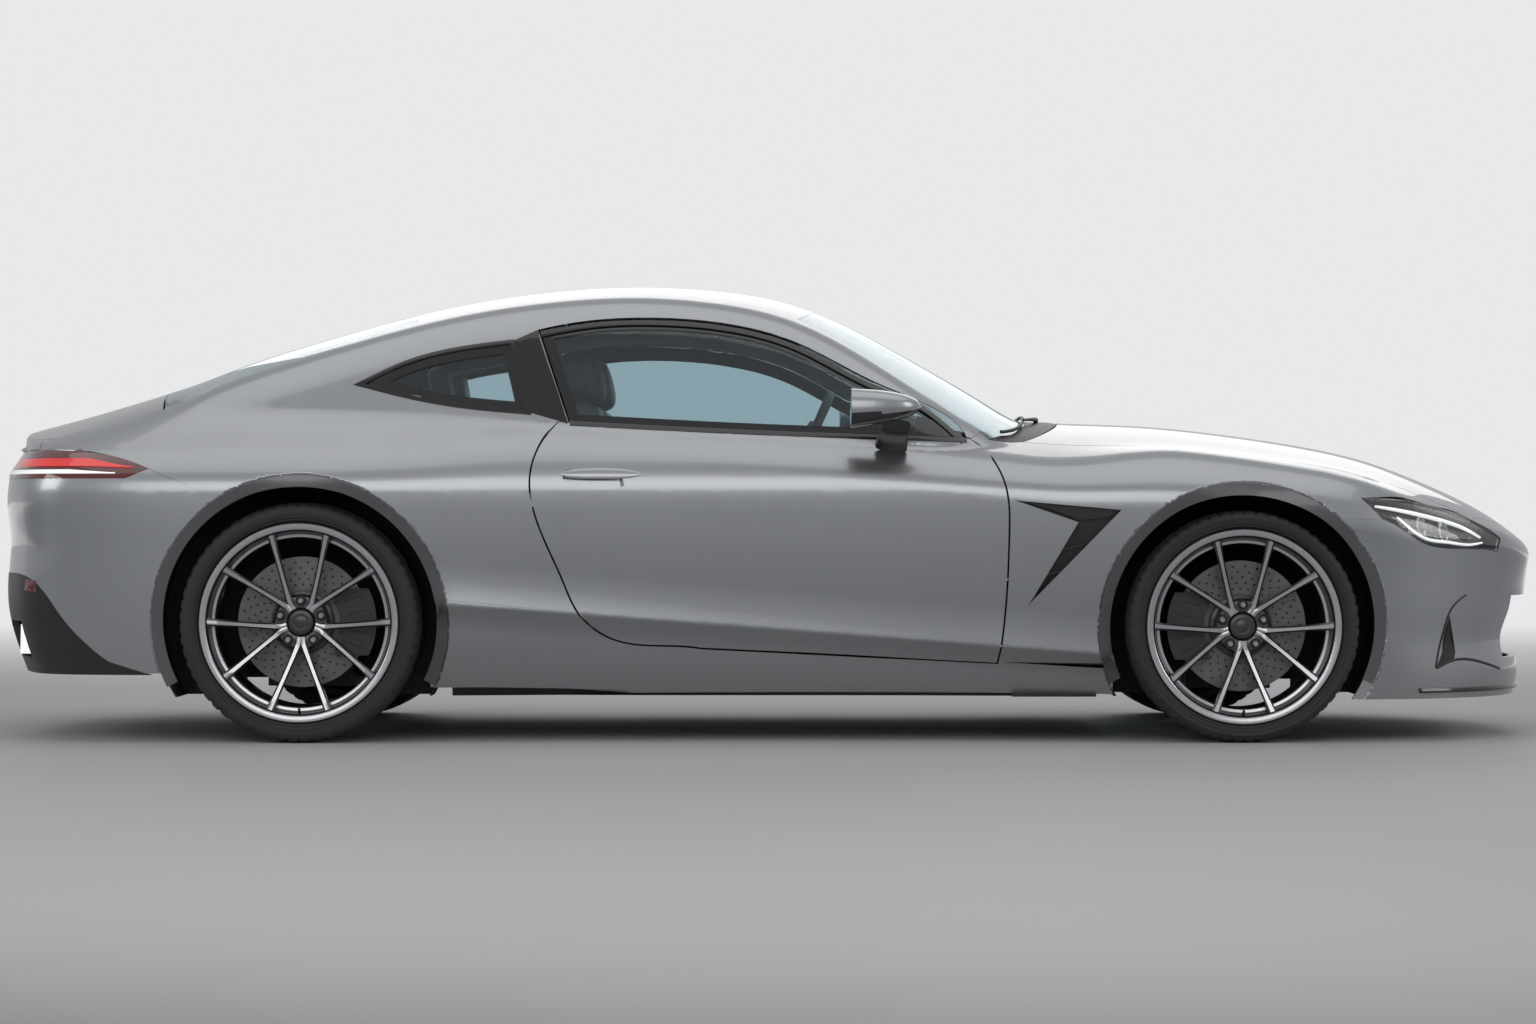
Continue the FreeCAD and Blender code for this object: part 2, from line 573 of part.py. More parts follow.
# Floor, bulkheads and shelf, each reaching the inner face of the walls
inner_zone = flank_slab(-2215, 720, 40, -38, 56, 22, -90, wall + seam)
sill_zone = flank_slab(-1040, 1040, 20, -35, -8, 10, -90, wall + 3 * seam)
inner_zones = [inner_zone, left_of(inner_zone), sill_zone, left_of(sill_zone)]
low, top_z = size("floor_low"), size("floor_low") + size("floor_wall")
front_arch_x = front_x - size("arch_front") - size("liner_gap") - size("liner_wall") - seam
rear_arch_x = rear_x + size("arch_rear") + size("liner_gap") + size("liner_wall") + seam
floor = box(rear_arch_x, -900, low, front_arch_x, 900, top_z).cut(inner_zones)
floor = largest(floor)
tunnel = box(rear_arch_x, -105, top_z - 1, 640, 105, 290)
seat_pan_z = max(size("tyre_rear") - 130, top_z + 50) + 1
boot_floor = box(-2180, -610, boot_low, -1080, 610, boot_high)
riser = box(-1110, -610, seat_pan_z, -1080, 610, boot_high)
seat_pan = box(-1110, -610, seat_pan_z, rear_arch_x + 30, 610, seat_pan_z + 16)
step = box(rear_arch_x, -610, top_z - 1, rear_arch_x + 30, 610, seat_pan_z + 16)
step = step.cut([box(-1000, y, top_z - 2, -800, y + 82, seat_pan_z - 0.7) for y in (-441, 359)])
floor = floor.fuse([tunnel, riser, boot_floor, seat_pan, step])
keep("floor_pan", floor)
keep("firewall", box(660, -700, top_z + seam, 680, 700, 872))
shelf = box(-1680, -800, 928, -1140, 800, 942).cut(inner_zones)
keep("parcel_shelf", largest(shelf))

# Arch liners: a drum's shell over each wheel with an inner wall, open underneath
liners = []
for end, wheel_x, zone, inner_y in (("front", front_x, fender_inner, 496), ("rear", rear_x, inner_zone, 628)):
    middle, radius = size("tyre_" + end), size("arch_" + end) + size("liner_gap")
    shell = drum(wheel_x, middle, radius + size("liner_wall"), -1000, -inner_y)
    shell = shell.cut(drum(wheel_x, middle, radius, -1100, -inner_y - size("liner_wall")))
    shell = shell.cut([box(wheel_x - 600, -1100, -300, wheel_x + 600, 0, low), zone, nose, tail, skirt])
    inner_low = box(wheel_x - 190, -660, 0, wheel_x + 190, 0, middle + 40)
    liners += [largest(shell.cut(inner_low))]
keep("arch_liners", Part.Compound(liners + [left_of(shell) for shell in liners]))

# Dashboard with the steering column, and seats
tilt = math.radians(size("column_tilt"))
column_way = Vector(-math.cos(tilt), 0, math.sin(tilt))
wheel_centre = Vector(126, size("seat_y"), 915)
dash = box(330, -684, 760, 660 - seam, 684, 925)
dash = dash.makeFillet(60, [e for e in dash.Edges if abs(e.tangentAt(e.FirstParameter).y) > 0.9
                            and e.CenterOfMass.x < 400])
column = Part.makeCylinder(30, 330, wheel_centre - column_way * (26 + seam), column_way * -1)
dash = dash.cut(under_glass)
keep("dashboard", dash.fuse(column.common(box(0, 0, 600, 500, 700, 1100))))
rim_radius, tube = size("wheel_rim_radius"), size("wheel_rim_tube")
hand_wheel = Part.makeTorus(rim_radius - tube, tube)
hand_wheel = hand_wheel.fuse(Part.makeCylinder(62, 52, Vector(0, 0, -26)))
for turn in (0, 180, 270):
    spoke = box(40, -17, -8, rim_radius - tube, 17, 8)
    spoke.rotate(Vector(0, 0, 0), Vector(0, 0, 1), turn)
    hand_wheel = hand_wheel.fuse(spoke)
hand_wheel.Placement = Placement(wheel_centre, Rotation(Vector(0, 1, 0), Vector(0, 0, 1), column_way, "ZXY"))
keep("steering_wheel", hand_wheel)


def rounded(shape, radius):
    return shape.makeFillet(radius, shape.Edges)


def seat(x, y, z, wide, long, pad, back, thick, lean):
    """Seat with its base, cushion, leaning back and headrest; x is at the hip."""
    base = box(x + 30, y - wide / 2 + 50, z, x + long - 40, y + wide / 2 - 50, z + size("seat_base") - pad + 20)
    cushion = rounded(box(x - 30, y - wide / 2, z + size("seat_base") - pad, x + long, y + wide / 2,
                          z + size("seat_base")), pad * 0.35)
    rest = rounded(box(-thick, y - wide / 2 + 6, -40, 0, y + wide / 2 - 6, back), thick * 0.35)
    head = rounded(box(-thick + 22, y - 125, back + 18, -6, y + 125, back + 160), thick * 0.3)
    stems = [Part.makeCylinder(7, 60, Vector(-thick / 2, y + side, back - 20)) for side in (-60, 60)]
    upper = rest.fuse([head] + stems)
    upper.rotate(Vector(0, 0, 0), Vector(0, 1, 0), -lean)
    upper.translate(Vector(x + 10, 0, z + size("seat_base") - 20))
    return base.fuse([cushion, upper])


wide, pad, back = size("seat_width"), size("seat_pad"), size("seat_back")
front_seat = seat(-390, -size("seat_y"), top_z + seam, wide, 500, pad, back, 130, 14)
keep("front_seats", Part.Compound([front_seat, left_of(front_seat)]))
rear_seat = seat(-880, -330, top_z + seam, wide * 0.85, 325, pad, back - 60, 90, 10)
keep("rear_seats", Part.Compound([rear_seat, left_of(rear_seat)]))

# Door mirrors
cap = box(232, -1064, 926, 444, -872, 1048)
cap = cap.makeFillet(46, [e for e in cap.Edges if e.CenterOfMass.x > 400])
foot = box(300, -905, 870, 384, -800, 930)
mirror = largest(cap.fuse(foot).cut(door).cut(door_glass))
keep("mirror_right", mirror)
keep("mirror_left", left_of(mirror))


# Wheels: turned about Z, from the inner sidewall outwards
def turned(corners):
    wire = Part.makePolygon([Vector(r, 0, h) for r, h in corners + corners[:1]])
    return Part.Face(wire).revolve(Vector(0, 0, 0), Vector(0, 0, 1), 360)


def spoke_bar(pad_z, pad_radius, rim_z, rim_r, hub_angle, rim_angle):
    """One spoke from the hub pad to the barrel, narrower and thinner at the barrel."""
    wires = []
    for r, angle, z, half, deep in ((pad_radius - 14, hub_angle, pad_z, size("spoke_width") * 0.58, size("spoke_depth")),
                                    (rim_r, rim_angle, rim_z, size("spoke_width") / 2, size("spoke_depth"))):
        a = math.radians(angle)
        centre, across = Vector(r * math.sin(a), r * math.cos(a), z), Vector(math.cos(a), -math.sin(a), 0)
        spots = [centre + across * half, centre - across * half, centre - across * (half * 0.8) + Vector(0, 0, deep),
                 centre + across * (half * 0.8) + Vector(0, 0, deep)]
        wires.append(Part.makePolygon(spots + spots[:1]))
    return Part.makeLoft(wires, True, True)


def wheel(end, side):
    """Tyre, rim and disc of one wheel."""
    radius, width, seat_r = size("tyre_" + end), size("tread_" + end), size("rim_" + end)
    flange, wall_r, mount = size("flange"), seat_r - size("bead_wall"), width / 2 + size("hub_offset")
    half = [(seat_r, 21), (seat_r + flange, 21), (seat_r + flange + 10, 4), (seat_r + flange + 26, 0),
            (radius - 10, 8), (radius, 26)]
    tyre = turned(half + [(r, width - h) for r, h in reversed(half)])
    rim = turned([(wall_r, 12), (seat_r + flange, 12), (seat_r + flange, 21), (seat_r, 21), (seat_r, width - 21),
                  (seat_r + flange, width - 21), (seat_r + flange, width - 12), (wall_r, width - 12)])
    pad, deep = size("hub_pad"), size("spoke_depth")
    parts = [Part.makeCylinder(pad, deep, Vector(0, 0, mount)),
             Part.makeCylinder(size("cap_radius"), deep + 5, Vector(0, 0, mount))]
    for pair in range(5):
        for hand in (-1, 1):
            middle = 36 + 72 * pair
            parts.append(spoke_bar(mount, pad, width - 12 - deep - 6, wall_r + 3, middle + hand * 10,
                                   middle + hand * size("spoke_spread")))
    rim = rim.fuse(parts)
    disc_face = mount - size("disc_offset")
    disc = turned([(size("hub_bore"), mount - 20), (size("hub_bore"), mount), (84, mount), (84, disc_face),
                   (size("disc_radius"), disc_face), (size("disc_radius"), disc_face - size("disc_thick")),
                   (74, disc_face - size("disc_thick")), (74, mount - 20)])
    holes, recesses = [], []
    for turn in range(5):
        a = math.radians(72 * turn)
        at = Vector(size("lug_circle") * math.sin(a), size("lug_circle") * math.cos(a), 0)
        holes.append(Part.makeCylinder(size("lug_hole"), 90, at + Vector(0, 0, mount - 30)))
        recesses.append(Part.makeCylinder(size("lug_hole") + 7, 60, at + Vector(0, 0, mount + 14)))
    rim = rim.cut(holes + recesses)
    disc = disc.cut(holes)
    hand = 1 if side == "left" else -1
    wheel_x = front_x if end == "front" else rear_x
    spin = Rotation(Vector(1, 0, 0), -90 * hand)
    if hand > 0:
        spin = spin.multiply(Rotation(Vector(0, 0, 1), 180))
    spot = Placement(Vector(wheel_x, hand * (size("track_" + end) - width / 2), radius), spin)
    for kind, shape in (("tyre", tyre), ("rim", rim), ("disc", disc)):
        shape.Placement = spot
        keep(kind + "_" + end + "_" + side, shape)


def knuckle(end, side):
    """Upright with its stub axle and the caliper over the disc, for the right; the left is its mirror."""
    wheel_x = front_x if end == "front" else rear_x
    middle, face = size("tyre_" + end), -size("track_" + end) - size("hub_offset")
    rear = -1 if end == "front" else 1
    disc_near = face + size("disc_offset")
    disc_far = disc_near + size("disc_thick")
    inboard = -size("kingpin") + 30
    stub = drum(wheel_x, middle, size("axle_radius"), face + 1, inboard)
    carrier = box(wheel_x - 45, disc_far + 42, middle - 130, wheel_x + 45, inboard, middle + 150)
    caliper = drum(wheel_x, middle, size("disc_radius") + 26, disc_near - 22, disc_far + 24)
    caliper = caliper.cut(drum(wheel_x, middle, 112, face, inboard))
    caliper = caliper.cut(drum(wheel_x, middle, size("disc_radius") + 4, disc_near - 4, disc_far + 4))
    reach = sorted((wheel_x + rear * 95, wheel_x + rear * 240))
    caliper = caliper.common(box(reach[0], -1200, middle - 100, reach[1], 0, middle + 100))
    arm = sorted((wheel_x, wheel_x + rear * 190))
    bracket = box(arm[0], disc_far + 20, middle - 55, arm[1], disc_far + 60, middle + 55)
    shape = stub.fuse([carrier, caliper, bracket])
    shape = shape.cut(drum(wheel_x, middle, 112, face, disc_far + 12).cut(stub))
    keep("knuckle_" + end + "_" + side, shape if side == "right" else left_of(shape))


for end in ("front", "rear"):
    for side in ("right", "left"):
        wheel(end, side)
        knuckle(end, side)

# Subframes with the lower arms, and the engine as one block
for end, wheel_x, rail in (("front", front_x, (front_arch_x - 60, front_x + 120)),
                           ("rear", rear_x, (rear_x - 120, rear_arch_x + 60))):
    middle = size("tyre_" + end)
    arm_top = middle - 130 - seam
    inner_y = 480 if end == "front" else 600
    frame = [box(wheel_x - 130, -inner_y, arm_top - 70, wheel_x + 130, inner_y, arm_top)]
    for y in (-1, 1):
        ends = sorted((y * (inner_y - 60), y * (size("kingpin") + 28)))
        frame.append(box(wheel_x - 48, ends[0], arm_top - 32, wheel_x + 48, ends[1], arm_top))
        ends = sorted((y * 360, y * 440))
        frame.append(box(rail[0], ends[0], top_z + seam, rail[1], ends[1], max(arm_top, top_z + 50)))
    keep(end + "_subframe", frame[0].fuse(frame[1:]))
frame_top = size("tyre_front") - 130
keep("engine", box(1130, -size("engine_width") / 2, frame_top, 1130 + size("engine_length"),
                   size("engine_width") / 2, frame_top + size("engine_height")))

# Checks, then one file for each sub-part
doc.recompute()
for item in doc.Objects:
    if "Invalid" in item.State or "Error" in item.State:
        raise RuntimeError(item.Name + " failed: " + str(item.State))
for name, item in nodes.items():
    if item.Shape.isNull() or not item.Shape.isValid() or item.Shape.Volume <= 0:
        raise RuntimeError(name + " has no valid shape")
os.makedirs("parts", exist_ok=True)
for name, item in nodes.items():
    item.Shape.exportStep("parts/" + item.Label + ".step")
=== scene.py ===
"""Looks of a silver fastback coupe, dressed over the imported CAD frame.

Outlines and the skin's formulae are in millimetres, in the frame of the CAD model:
+X towards the nose, +Y to the left, +Z up. Pieces are made in metres.
"""
import math
import bmesh
import bpy
import numpy as np
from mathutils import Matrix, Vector


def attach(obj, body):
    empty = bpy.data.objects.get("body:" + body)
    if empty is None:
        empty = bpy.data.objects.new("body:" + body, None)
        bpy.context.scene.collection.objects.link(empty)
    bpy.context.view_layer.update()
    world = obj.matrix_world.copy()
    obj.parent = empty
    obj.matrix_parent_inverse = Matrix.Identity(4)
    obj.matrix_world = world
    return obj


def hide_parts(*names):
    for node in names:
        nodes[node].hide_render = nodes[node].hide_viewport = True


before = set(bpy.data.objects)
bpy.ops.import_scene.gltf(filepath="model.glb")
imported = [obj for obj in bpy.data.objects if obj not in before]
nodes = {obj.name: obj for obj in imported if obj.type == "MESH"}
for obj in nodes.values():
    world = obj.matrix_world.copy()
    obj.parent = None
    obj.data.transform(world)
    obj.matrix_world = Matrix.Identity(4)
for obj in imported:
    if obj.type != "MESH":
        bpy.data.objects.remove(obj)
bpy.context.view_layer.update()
MM = 0.001
SIDES = {"right": -1, "left": 1}
ENDS = {"front": 1, "rear": -1}


# Helpers

def mirrored(points, hand):
    """Points of the right side, turned over for the left one."""
    return points * [1, -1, 1] if hand > 0 else points


def circle(count):
    """Evenly spaced turns round a circle."""
    return np.linspace(0, 2 * math.pi, count, endpoint=False)


def squared(count, across, up):
    """Cosine and sine of turns round a circle, each squared off by its power."""
    for turn in circle(count):
        c, s = math.cos(turn), math.sin(turn)
        yield math.copysign(abs(c) ** across, c), math.copysign(abs(s) ** up, s)


def into_scene(name, data):
    item = bpy.data.objects.new(name, data)
    bpy.context.scene.collection.objects.link(item)
    return item


def rider(name, mesh, body):
    """A piece in the scene that rides on a body."""
    piece = into_scene(name, mesh)
    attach(piece, body)
    return piece


def vertex_array(mesh):
    """The places of a mesh's points, row by row."""
    co = np.empty(len(mesh.vertices) * 3)
    mesh.vertices.foreach_get("co", co)
    return co.reshape(-1, 3)


def evaluated(item):
    """A plain mesh of what an object's modifiers make."""
    bpy.context.view_layer.update()
    return bpy.data.meshes.new_from_object(item.evaluated_get(bpy.context.evaluated_depsgraph_get()))


# Skin of the body

class Curve:
    """Natural cubic spline through a few knots, with straight ends."""

    def __init__(self, *knots):
        self.at = np.array([k[0] for k in knots], float)
        self.to = np.array([k[1] for k in knots], float)
        step = np.diff(self.at)
        rise = np.diff(self.to) / step
        count = len(self.at)
        rows, right = np.eye(count), np.zeros(count)
        for i in range(1, count - 1):
            rows[i, i - 1:i + 2] = step[i - 1], 2 * (step[i - 1] + step[i]), step[i]
            right[i] = 6 * (rise[i] - rise[i - 1])
        self.bend = np.linalg.solve(rows, right)
        self.first = rise[0] - step[0] * self.bend[1] / 6
        self.last = rise[-1] + step[-1] * self.bend[-2] / 6

    def __call__(self, x):
        x = np.asarray(x, float)
        i = np.clip(np.searchsorted(self.at, x, "right") - 1, 0, len(self.at) - 2)
        u, v, g = x - self.at[i], self.at[i + 1] - x, self.at[i + 1] - self.at[i]
        cubic = (self.bend[i] * v ** 3 + self.bend[i + 1] * u ** 3) / (6 * g)
        from_low = (self.to[i] / g - self.bend[i] * g / 6) * v
        from_high = (self.to[i + 1] / g - self.bend[i + 1] * g / 6) * u
        inner = cubic + from_low + from_high
        low = self.to[0] + (x - self.at[0]) * self.first
        high = self.to[-1] + (x - self.at[-1]) * self.last
        return np.where(x <= self.at[0], low, np.where(x >= self.at[-1], high, inner))


def ramp(x, a, b):
    u = np.clip((x - a) / (b - a), 0, 1)
    return u * u * (3 - 2 * u)


def blend_max(a, b, k):
    s = np.maximum(k - np.abs(a - b), 0)
    return np.maximum(a, b) + s * s / (4 * k)


def blend_min(a, b, k):
    return -blend_max(-a, -b, k)


WIDTH = Curve((-2250, 858), (-2000, 930), (-1700, 962), (-1400, 970), (-1000, 957), (-600, 941), (0, 933),
              (600, 935), (1000, 943), (1400, 950), (1700, 937), (1900, 892), (2100, 800), (2250, 690))
DECK = Curve((-2335, 934), (-2141, 984), (-2013, 1010), (-1886, 1028), (-1650, 1040), (-1200, 1045),
             (-640, 1040), (0, 1015), (590, 985), (920, 965), (1175, 955), (1430, 929), (1685, 890),
             (1870, 847), (2020, 792), (2160, 729), (2259, 671), (2330, 615), (2400, 548))
ROOF = Curve((-2250, 850), (-2013, 985), (-1886, 1047), (-1695, 1133), (-1440, 1217), (-1184, 1289),
             (-929, 1346), (-674, 1381), (-419, 1395), (-164, 1382), (30, 1350), (155, 1309), (410, 1182),
             (665, 1036), (792, 958), (950, 860))
CROWN = Curve((-2300, 160), (-1400, 130), (0, 130), (700, 185), (1200, 195), (2300, 195))
GLASS_CROWN = Curve((-1900, 200), (-1000, 195), (0, 220), (200, 245), (800, 250))
NOSE = Curve((100, 2312), (212, 2334), (308, 2322), (380, 2345), (499, 2364), (600, 2384), (750, 2392))
TAIL = Curve((150, -2290), (276, -2339), (443, -2372), (600, -2363), (690, -2372), (760, -2370),
             (834, -2341), (885, -2316), (945, -2345))
CABIN = Curve((-2100, 700), (-1845, 730), (-1662, 742), (-1400, 762), (-1000, 786), (-600, 800), (300, 800),
              (500, 792), (651, 757), (800, 690), (1000, 560))
SHOULDER, CABIN_LEAN, CABIN_FLOOR, BELT = 740, 0.457, 850, 935


def crease_z(x):
    """Height of the sharp crease low on the door and skirt."""
    return 380 - 0.076 * (x + 569)


def side_y(x, z):
    """Half width of the lower body."""
    lean = 130 + np.where(x < 0, 70 * ramp(-x, 700, 1400), 60 * ramp(x, 700, 1400))
    up, down = np.maximum(z - SHOULDER, 0) / 200, np.maximum(SHOULDER - z, 0) / 310
    y = WIDTH(x) - lean * up * up - 38 * down * down * (1 - 0.6 * ramp(np.abs(x), 1000, 1250))
    off = z - crease_z(x)
    reach = np.where(off > 0, 115, 70)
    between_arches = 1 - ramp(np.abs(x - 20), 950, 1150)
    return y + 26 * between_arches * np.maximum(0, 1 - (np.hypot(off, 3) - 3) / reach) ** 1.7


def skin(p):
    """Zero on the outer skin, negative inside it, in millimetres."""
    x, y, z = p[..., 0], p[..., 1], p[..., 2]
    a = np.abs(y)
    crest = 40 * ramp(x, 800, 1250) * (1 - ramp(x, 1650, 2050)) * np.exp(-((a - 820) / 150) ** 2)
    top = DECK(x) - CROWN(x) * 1e-6 * a * a + crest
    sweep = (a / 940) ** 3.2
    end = np.where(x > 0, x - NOSE(z) + 520 * sweep, TAIL(z) + 230 * sweep - x)
    flank = blend_max(a - side_y(x, z), end, 80)
    lower = blend_max(flank, z - top, 100 - 75 * ramp(-x, 2000, 2300) - 60 * ramp(x, 1900, 2300))
    side = a - CABIN(x) + CABIN_LEAN * (np.maximum(z, 890) - BELT)
    high = z - ROOF(x) + GLASS_CROWN(x) * 1e-6 * y * y
    cabin = np.maximum(blend_max(side, high, 90), CABIN_FLOOR - z)
    return blend_min(lower, cabin, 15 + 85 * ramp(-x, 650, 1400))


WHEEL = {"front": (1400, 344), "rear": (-1400, 356)}
ARCH = {"front": 393, "rear": 404}
LIP_WIDTH, LIP_STEP, LIP_TILT = 36, 3, 0.3


def lip_inset(p):
    """How far the flat lip round each arch lies under the skin."""
    inset = np.zeros(p.shape[:-1])
    for end, (x, z) in WHEEL.items():
        r = np.hypot(p[..., 0] - x, p[..., 2] - z)
        depth = ARCH[end] + LIP_WIDTH - r
        inset += np.where(depth > 0, LIP_STEP + LIP_TILT * depth, 0)
    return inset


def look(p):
    """The skin with the lips of the arches."""
    return skin(p) + np.where(np.abs(p[..., 1]) > 600, lip_inset(p), 0)


def slope(p, form=skin, step=1.5):
    out = np.empty(p.shape)
    for axis in range(3):
        shift = np.zeros(3)
        shift[axis] = step
        out[..., axis] = form(p + shift) - form(p - shift)
    return out / (2 * step)


def unit(v):
    return v / np.maximum(np.linalg.norm(v, axis=-1, keepdims=True), 1e-9)


def onto(p, form=skin):
    """Points moved onto the form along its slope."""
    for _ in range(3):
        g = slope(p, form)
        p = p - form(p)[..., None] * g / (g * g).sum(-1, keepdims=True)
    return p


RAY_LENGTH, HALVINGS = 1300.0, 34


def reach(start, way):
    """Where rays from inside the skin leave it."""
    start, way = np.broadcast_arrays(np.asarray(start, float), np.asarray(way, float))
    near, far = np.zeros(start.shape[:-1]), np.full(start.shape[:-1], RAY_LENGTH)
    for _ in range(HALVINGS):
        mid = (near + far) / 2
        inside = skin(start + way * mid[..., None]) < 0
        near, far = np.where(inside, mid, near), np.where(inside, far, mid)
    return start + way * near[..., None]


def on_side(flat, lift=0.0):
    """Points (x, z) of a side view on the right flank, lifted off it."""
    flat = np.asarray(flat, float)
    start = np.stack([flat[..., 0], np.zeros(flat.shape[:-1]), flat[..., 1]], -1)
    p = reach(start, np.array([0.0, -1.0, 0.0]))
    return p + unit(slope(p)) * np.asarray(lift, float)[..., None]


def on_top(flat, lift=0.0):
    """Points (x, y) of a plan view on the top skin, lifted off it."""
    flat = np.asarray(flat, float)
    start = np.stack([flat[..., 0], flat[..., 1], np.full(flat.shape[:-1], 480.0)], -1)
    p = reach(start, np.array([0.0, 0.0, 1.0]))
    return p + unit(slope(p)) * np.asarray(lift, float)[..., None]


# Outlines in side view (x, z) and plan (x, y), as runs

DOOR_GLASS = [[(582, 900), (455, 1008), (295, 1078), (79, 1190), (-137, 1250), (-354, 1268), (-560, 1258),
               (-700, 1232)], [(-602, 950)], [(-243, 930), (237, 910), (582, 900)]]
QUARTER_GLASS = [[(-1226, 1071), (-1100, 1130), (-960, 1168), (-790, 1192)], [(-737, 989)],
                 [(-900, 1004), (-1060, 1030), (-1226, 1071)]]
HEADLAMP = [[(1751, 728), (1890, 721), (1999, 700), (2109, 666), (2203, 603)], [(2191, 564)],
            [(2011, 576), (1948, 588), (1884, 624), (1812, 662)], [(1751, 728)]]
VENT = [[(714, 720), (1037, 691)], [(759, 403)], [(906, 653)], [(714, 720)]]
HANDLE = (-506, 791, 123, 44)


def run_points(run, step):
    """Points along a smooth run, spaced about a step apart."""
    run = np.asarray(run, float)
    along = np.concatenate([[0], np.cumsum(np.linalg.norm(np.diff(run, axis=0), axis=1))])
    at = np.linspace(0, along[-1], max(int(along[-1] / step), 1) + 1)
    if len(run) == 2:
        return run[0] + (run[1] - run[0]) * (at / along[-1])[:, None]
    return np.stack([Curve(*zip(along, run[:, k]))(at) for k in (0, 1)], -1)


def traced(runs, step=12):
    """Closed polyline through the runs, each starting where the last one ends."""
    points, last = [], runs[-1][-1]
    for run in runs:
        run = list(run) if tuple(run[0]) == tuple(last) else [last] + list(run)
        last = run[-1]
        if len(run) > 1:
            points.append(run_points(run, step)[:-1])
    points = np.concatenate(points)
    turn = (points[:, 0] * np.roll(points[:, 1], -1) - np.roll(points[:, 0], -1) * points[:, 1]).sum()
    return points if turn > 0 else points[::-1]


def grown(points, amount):
    """A closed polyline moved outwards, with mitred corners."""
    ahead, behind = unit(np.roll(points, -1, 0) - points), unit(points - np.roll(points, 1, 0))
    out_a = np.stack([ahead[:, 1], -ahead[:, 0]], -1)
    out_b = np.stack([behind[:, 1], -behind[:, 0]], -1)
    both = unit(out_a + out_b)
    share = np.maximum((both * out_a).sum(-1, keepdims=True), 0.35)
    return points + both * amount / share


# Making pieces

SHARP = math.radians(38)


def make(name, points, faces, body, finishes, index=None):
    """A closed piece from points in millimetres; finishes is a material or several, picked by index."""
    mesh = bpy.data.meshes.new(name)
    mesh.from_pydata((np.asarray(points, float) * MM).tolist(), [], [tuple(f) for f in faces])
    finishes = finishes if isinstance(finishes, (list, tuple)) else [finishes]
    for finish in finishes:
        mesh.materials.append(finish)
    if index is not None:
        mesh.polygons.foreach_set("material_index", np.asarray(index, np.int32))
    bm = bmesh.new()
    bm.from_mesh(mesh)
    bmesh.ops.remove_doubles(bm, verts=bm.verts[:], dist=1e-6)
    bmesh.ops.recalc_face_normals(bm, faces=bm.faces[:])
    bm.to_mesh(mesh)
    bm.free()
    mesh.polygons.foreach_set("use_smooth", [True] * len(mesh.polygons))
    mesh.set_sharp_from_angle(angle=SHARP)
    mesh.update()
    return rider(name, mesh, body)


def loft(name, sections, body, finishes, slot, index=None, joined=False):
    """A piece through rings of points, whose end rings are capped or joined to each other."""
    sections = np.asarray(sections, float)
    rows, columns = sections.shape[:2]
    faces = []
    for i in range(rows if joined else rows - 1):
        here, ahead = i * columns, (i + 1) % rows * columns
        for j in range(columns):
            beside = (j + 1) % columns
            faces.append((here + j, here + beside, ahead + beside, ahead + j))
    if not joined:
        faces += [tuple(range(columns))[::-1], tuple(range((rows - 1) * columns, rows * columns))]
    return make(name, sections.reshape(-1, 3), faces, body, finishes, index)


def lathe(name, profile, centre, hand, segments, body, finishes, slot, bands=None):
    """A ring turned about an axis across the car; the profile is (radius, place outwards), closed."""
    profile = np.asarray(profile, float)
    turn = circle(segments)
    r, h = profile[None, :, 0], profile[None, :, 1]
    x = centre[0] + r * np.cos(turn)[:, None]
    z = centre[2] + r * np.sin(turn)[:, None]
    y = np.broadcast_to(centre[1] + hand * h, x.shape)
    index = None if bands is None else [bands[j] for _ in range(segments) for j in range(len(profile))]
    return loft(name, np.stack([x, y, z], -1), body, finishes, slot, index, joined=True)


def band(name, outline, steps, thick, body, finish, slot, hand):
    """Closed strip on the flank that follows an outline, between its growths."""
    rows = [on_side(grown(outline, grow), lift) for grow, lift in steps]
    rows += [on_side(grown(outline, grow), lift - thick) for grow, lift in reversed(steps)]
    return loft(name, mirrored(np.stack(rows, 1), hand), body, finish, slot, joined=True)


def patch(name, outline, lift, thick, body, finish, slot, hand, spacing=16):
    """Thin plate on the flank, inside an outline."""
    bm = bmesh.new()
    loop = [bm.verts.new((p[0], p[1], 0)) for p in outline]
    edges = [bm.edges.new((a, b)) for a, b in zip(loop, loop[1:] + loop[:1])]
    bmesh.ops.triangle_fill(bm, edges=edges, use_beauty=True)
    for _ in range(5):
        long = [e for e in bm.edges if e.calc_length() > spacing * 1.5 and not e.is_boundary]
        if not long:
            break
        bmesh.ops.subdivide_edges(bm, edges=long, cuts=1)
        bmesh.ops.triangulate(bm, faces=bm.faces[:])
    flat = np.array([v.co[:2] for v in bm.verts])
    bm.verts.index_update()
    faces = [[v.index for v in f.verts] for f in bm.faces]
    rim = [(e.verts[0].index, e.verts[1].index) for e in bm.edges if e.is_boundary]
    bm.free()
    count = len(flat)
    points = np.concatenate([on_side(flat, lift), on_side(flat, lift - thick)])
    faces = faces + [[i + count for i in reversed(f)] for f in faces]
    faces += [(a, b, b + count, a + count) for a, b in rim]
    return make(name, mirrored(points, hand), faces, body, finish)


def tube(name, path, radius, body, finish, slot, sides=10):
    """Round bar along a path of points; the radius may vary along it."""
    path = np.asarray(path, float)
    radius = np.broadcast_to(np.asarray(radius, float), len(path))
    along = unit(np.gradient(path, axis=0))
    side = unit(np.cross(along, [0.13, 0.29, 0.95]))
    up = np.cross(side, along)
    turn = circle(sides)[:, None]
    rings = path[:, None] + radius[:, None, None] * (side[:, None] * np.cos(turn) + up[:, None] * np.sin(turn))
    return loft(name, rings, body, finish, slot)


# Materials

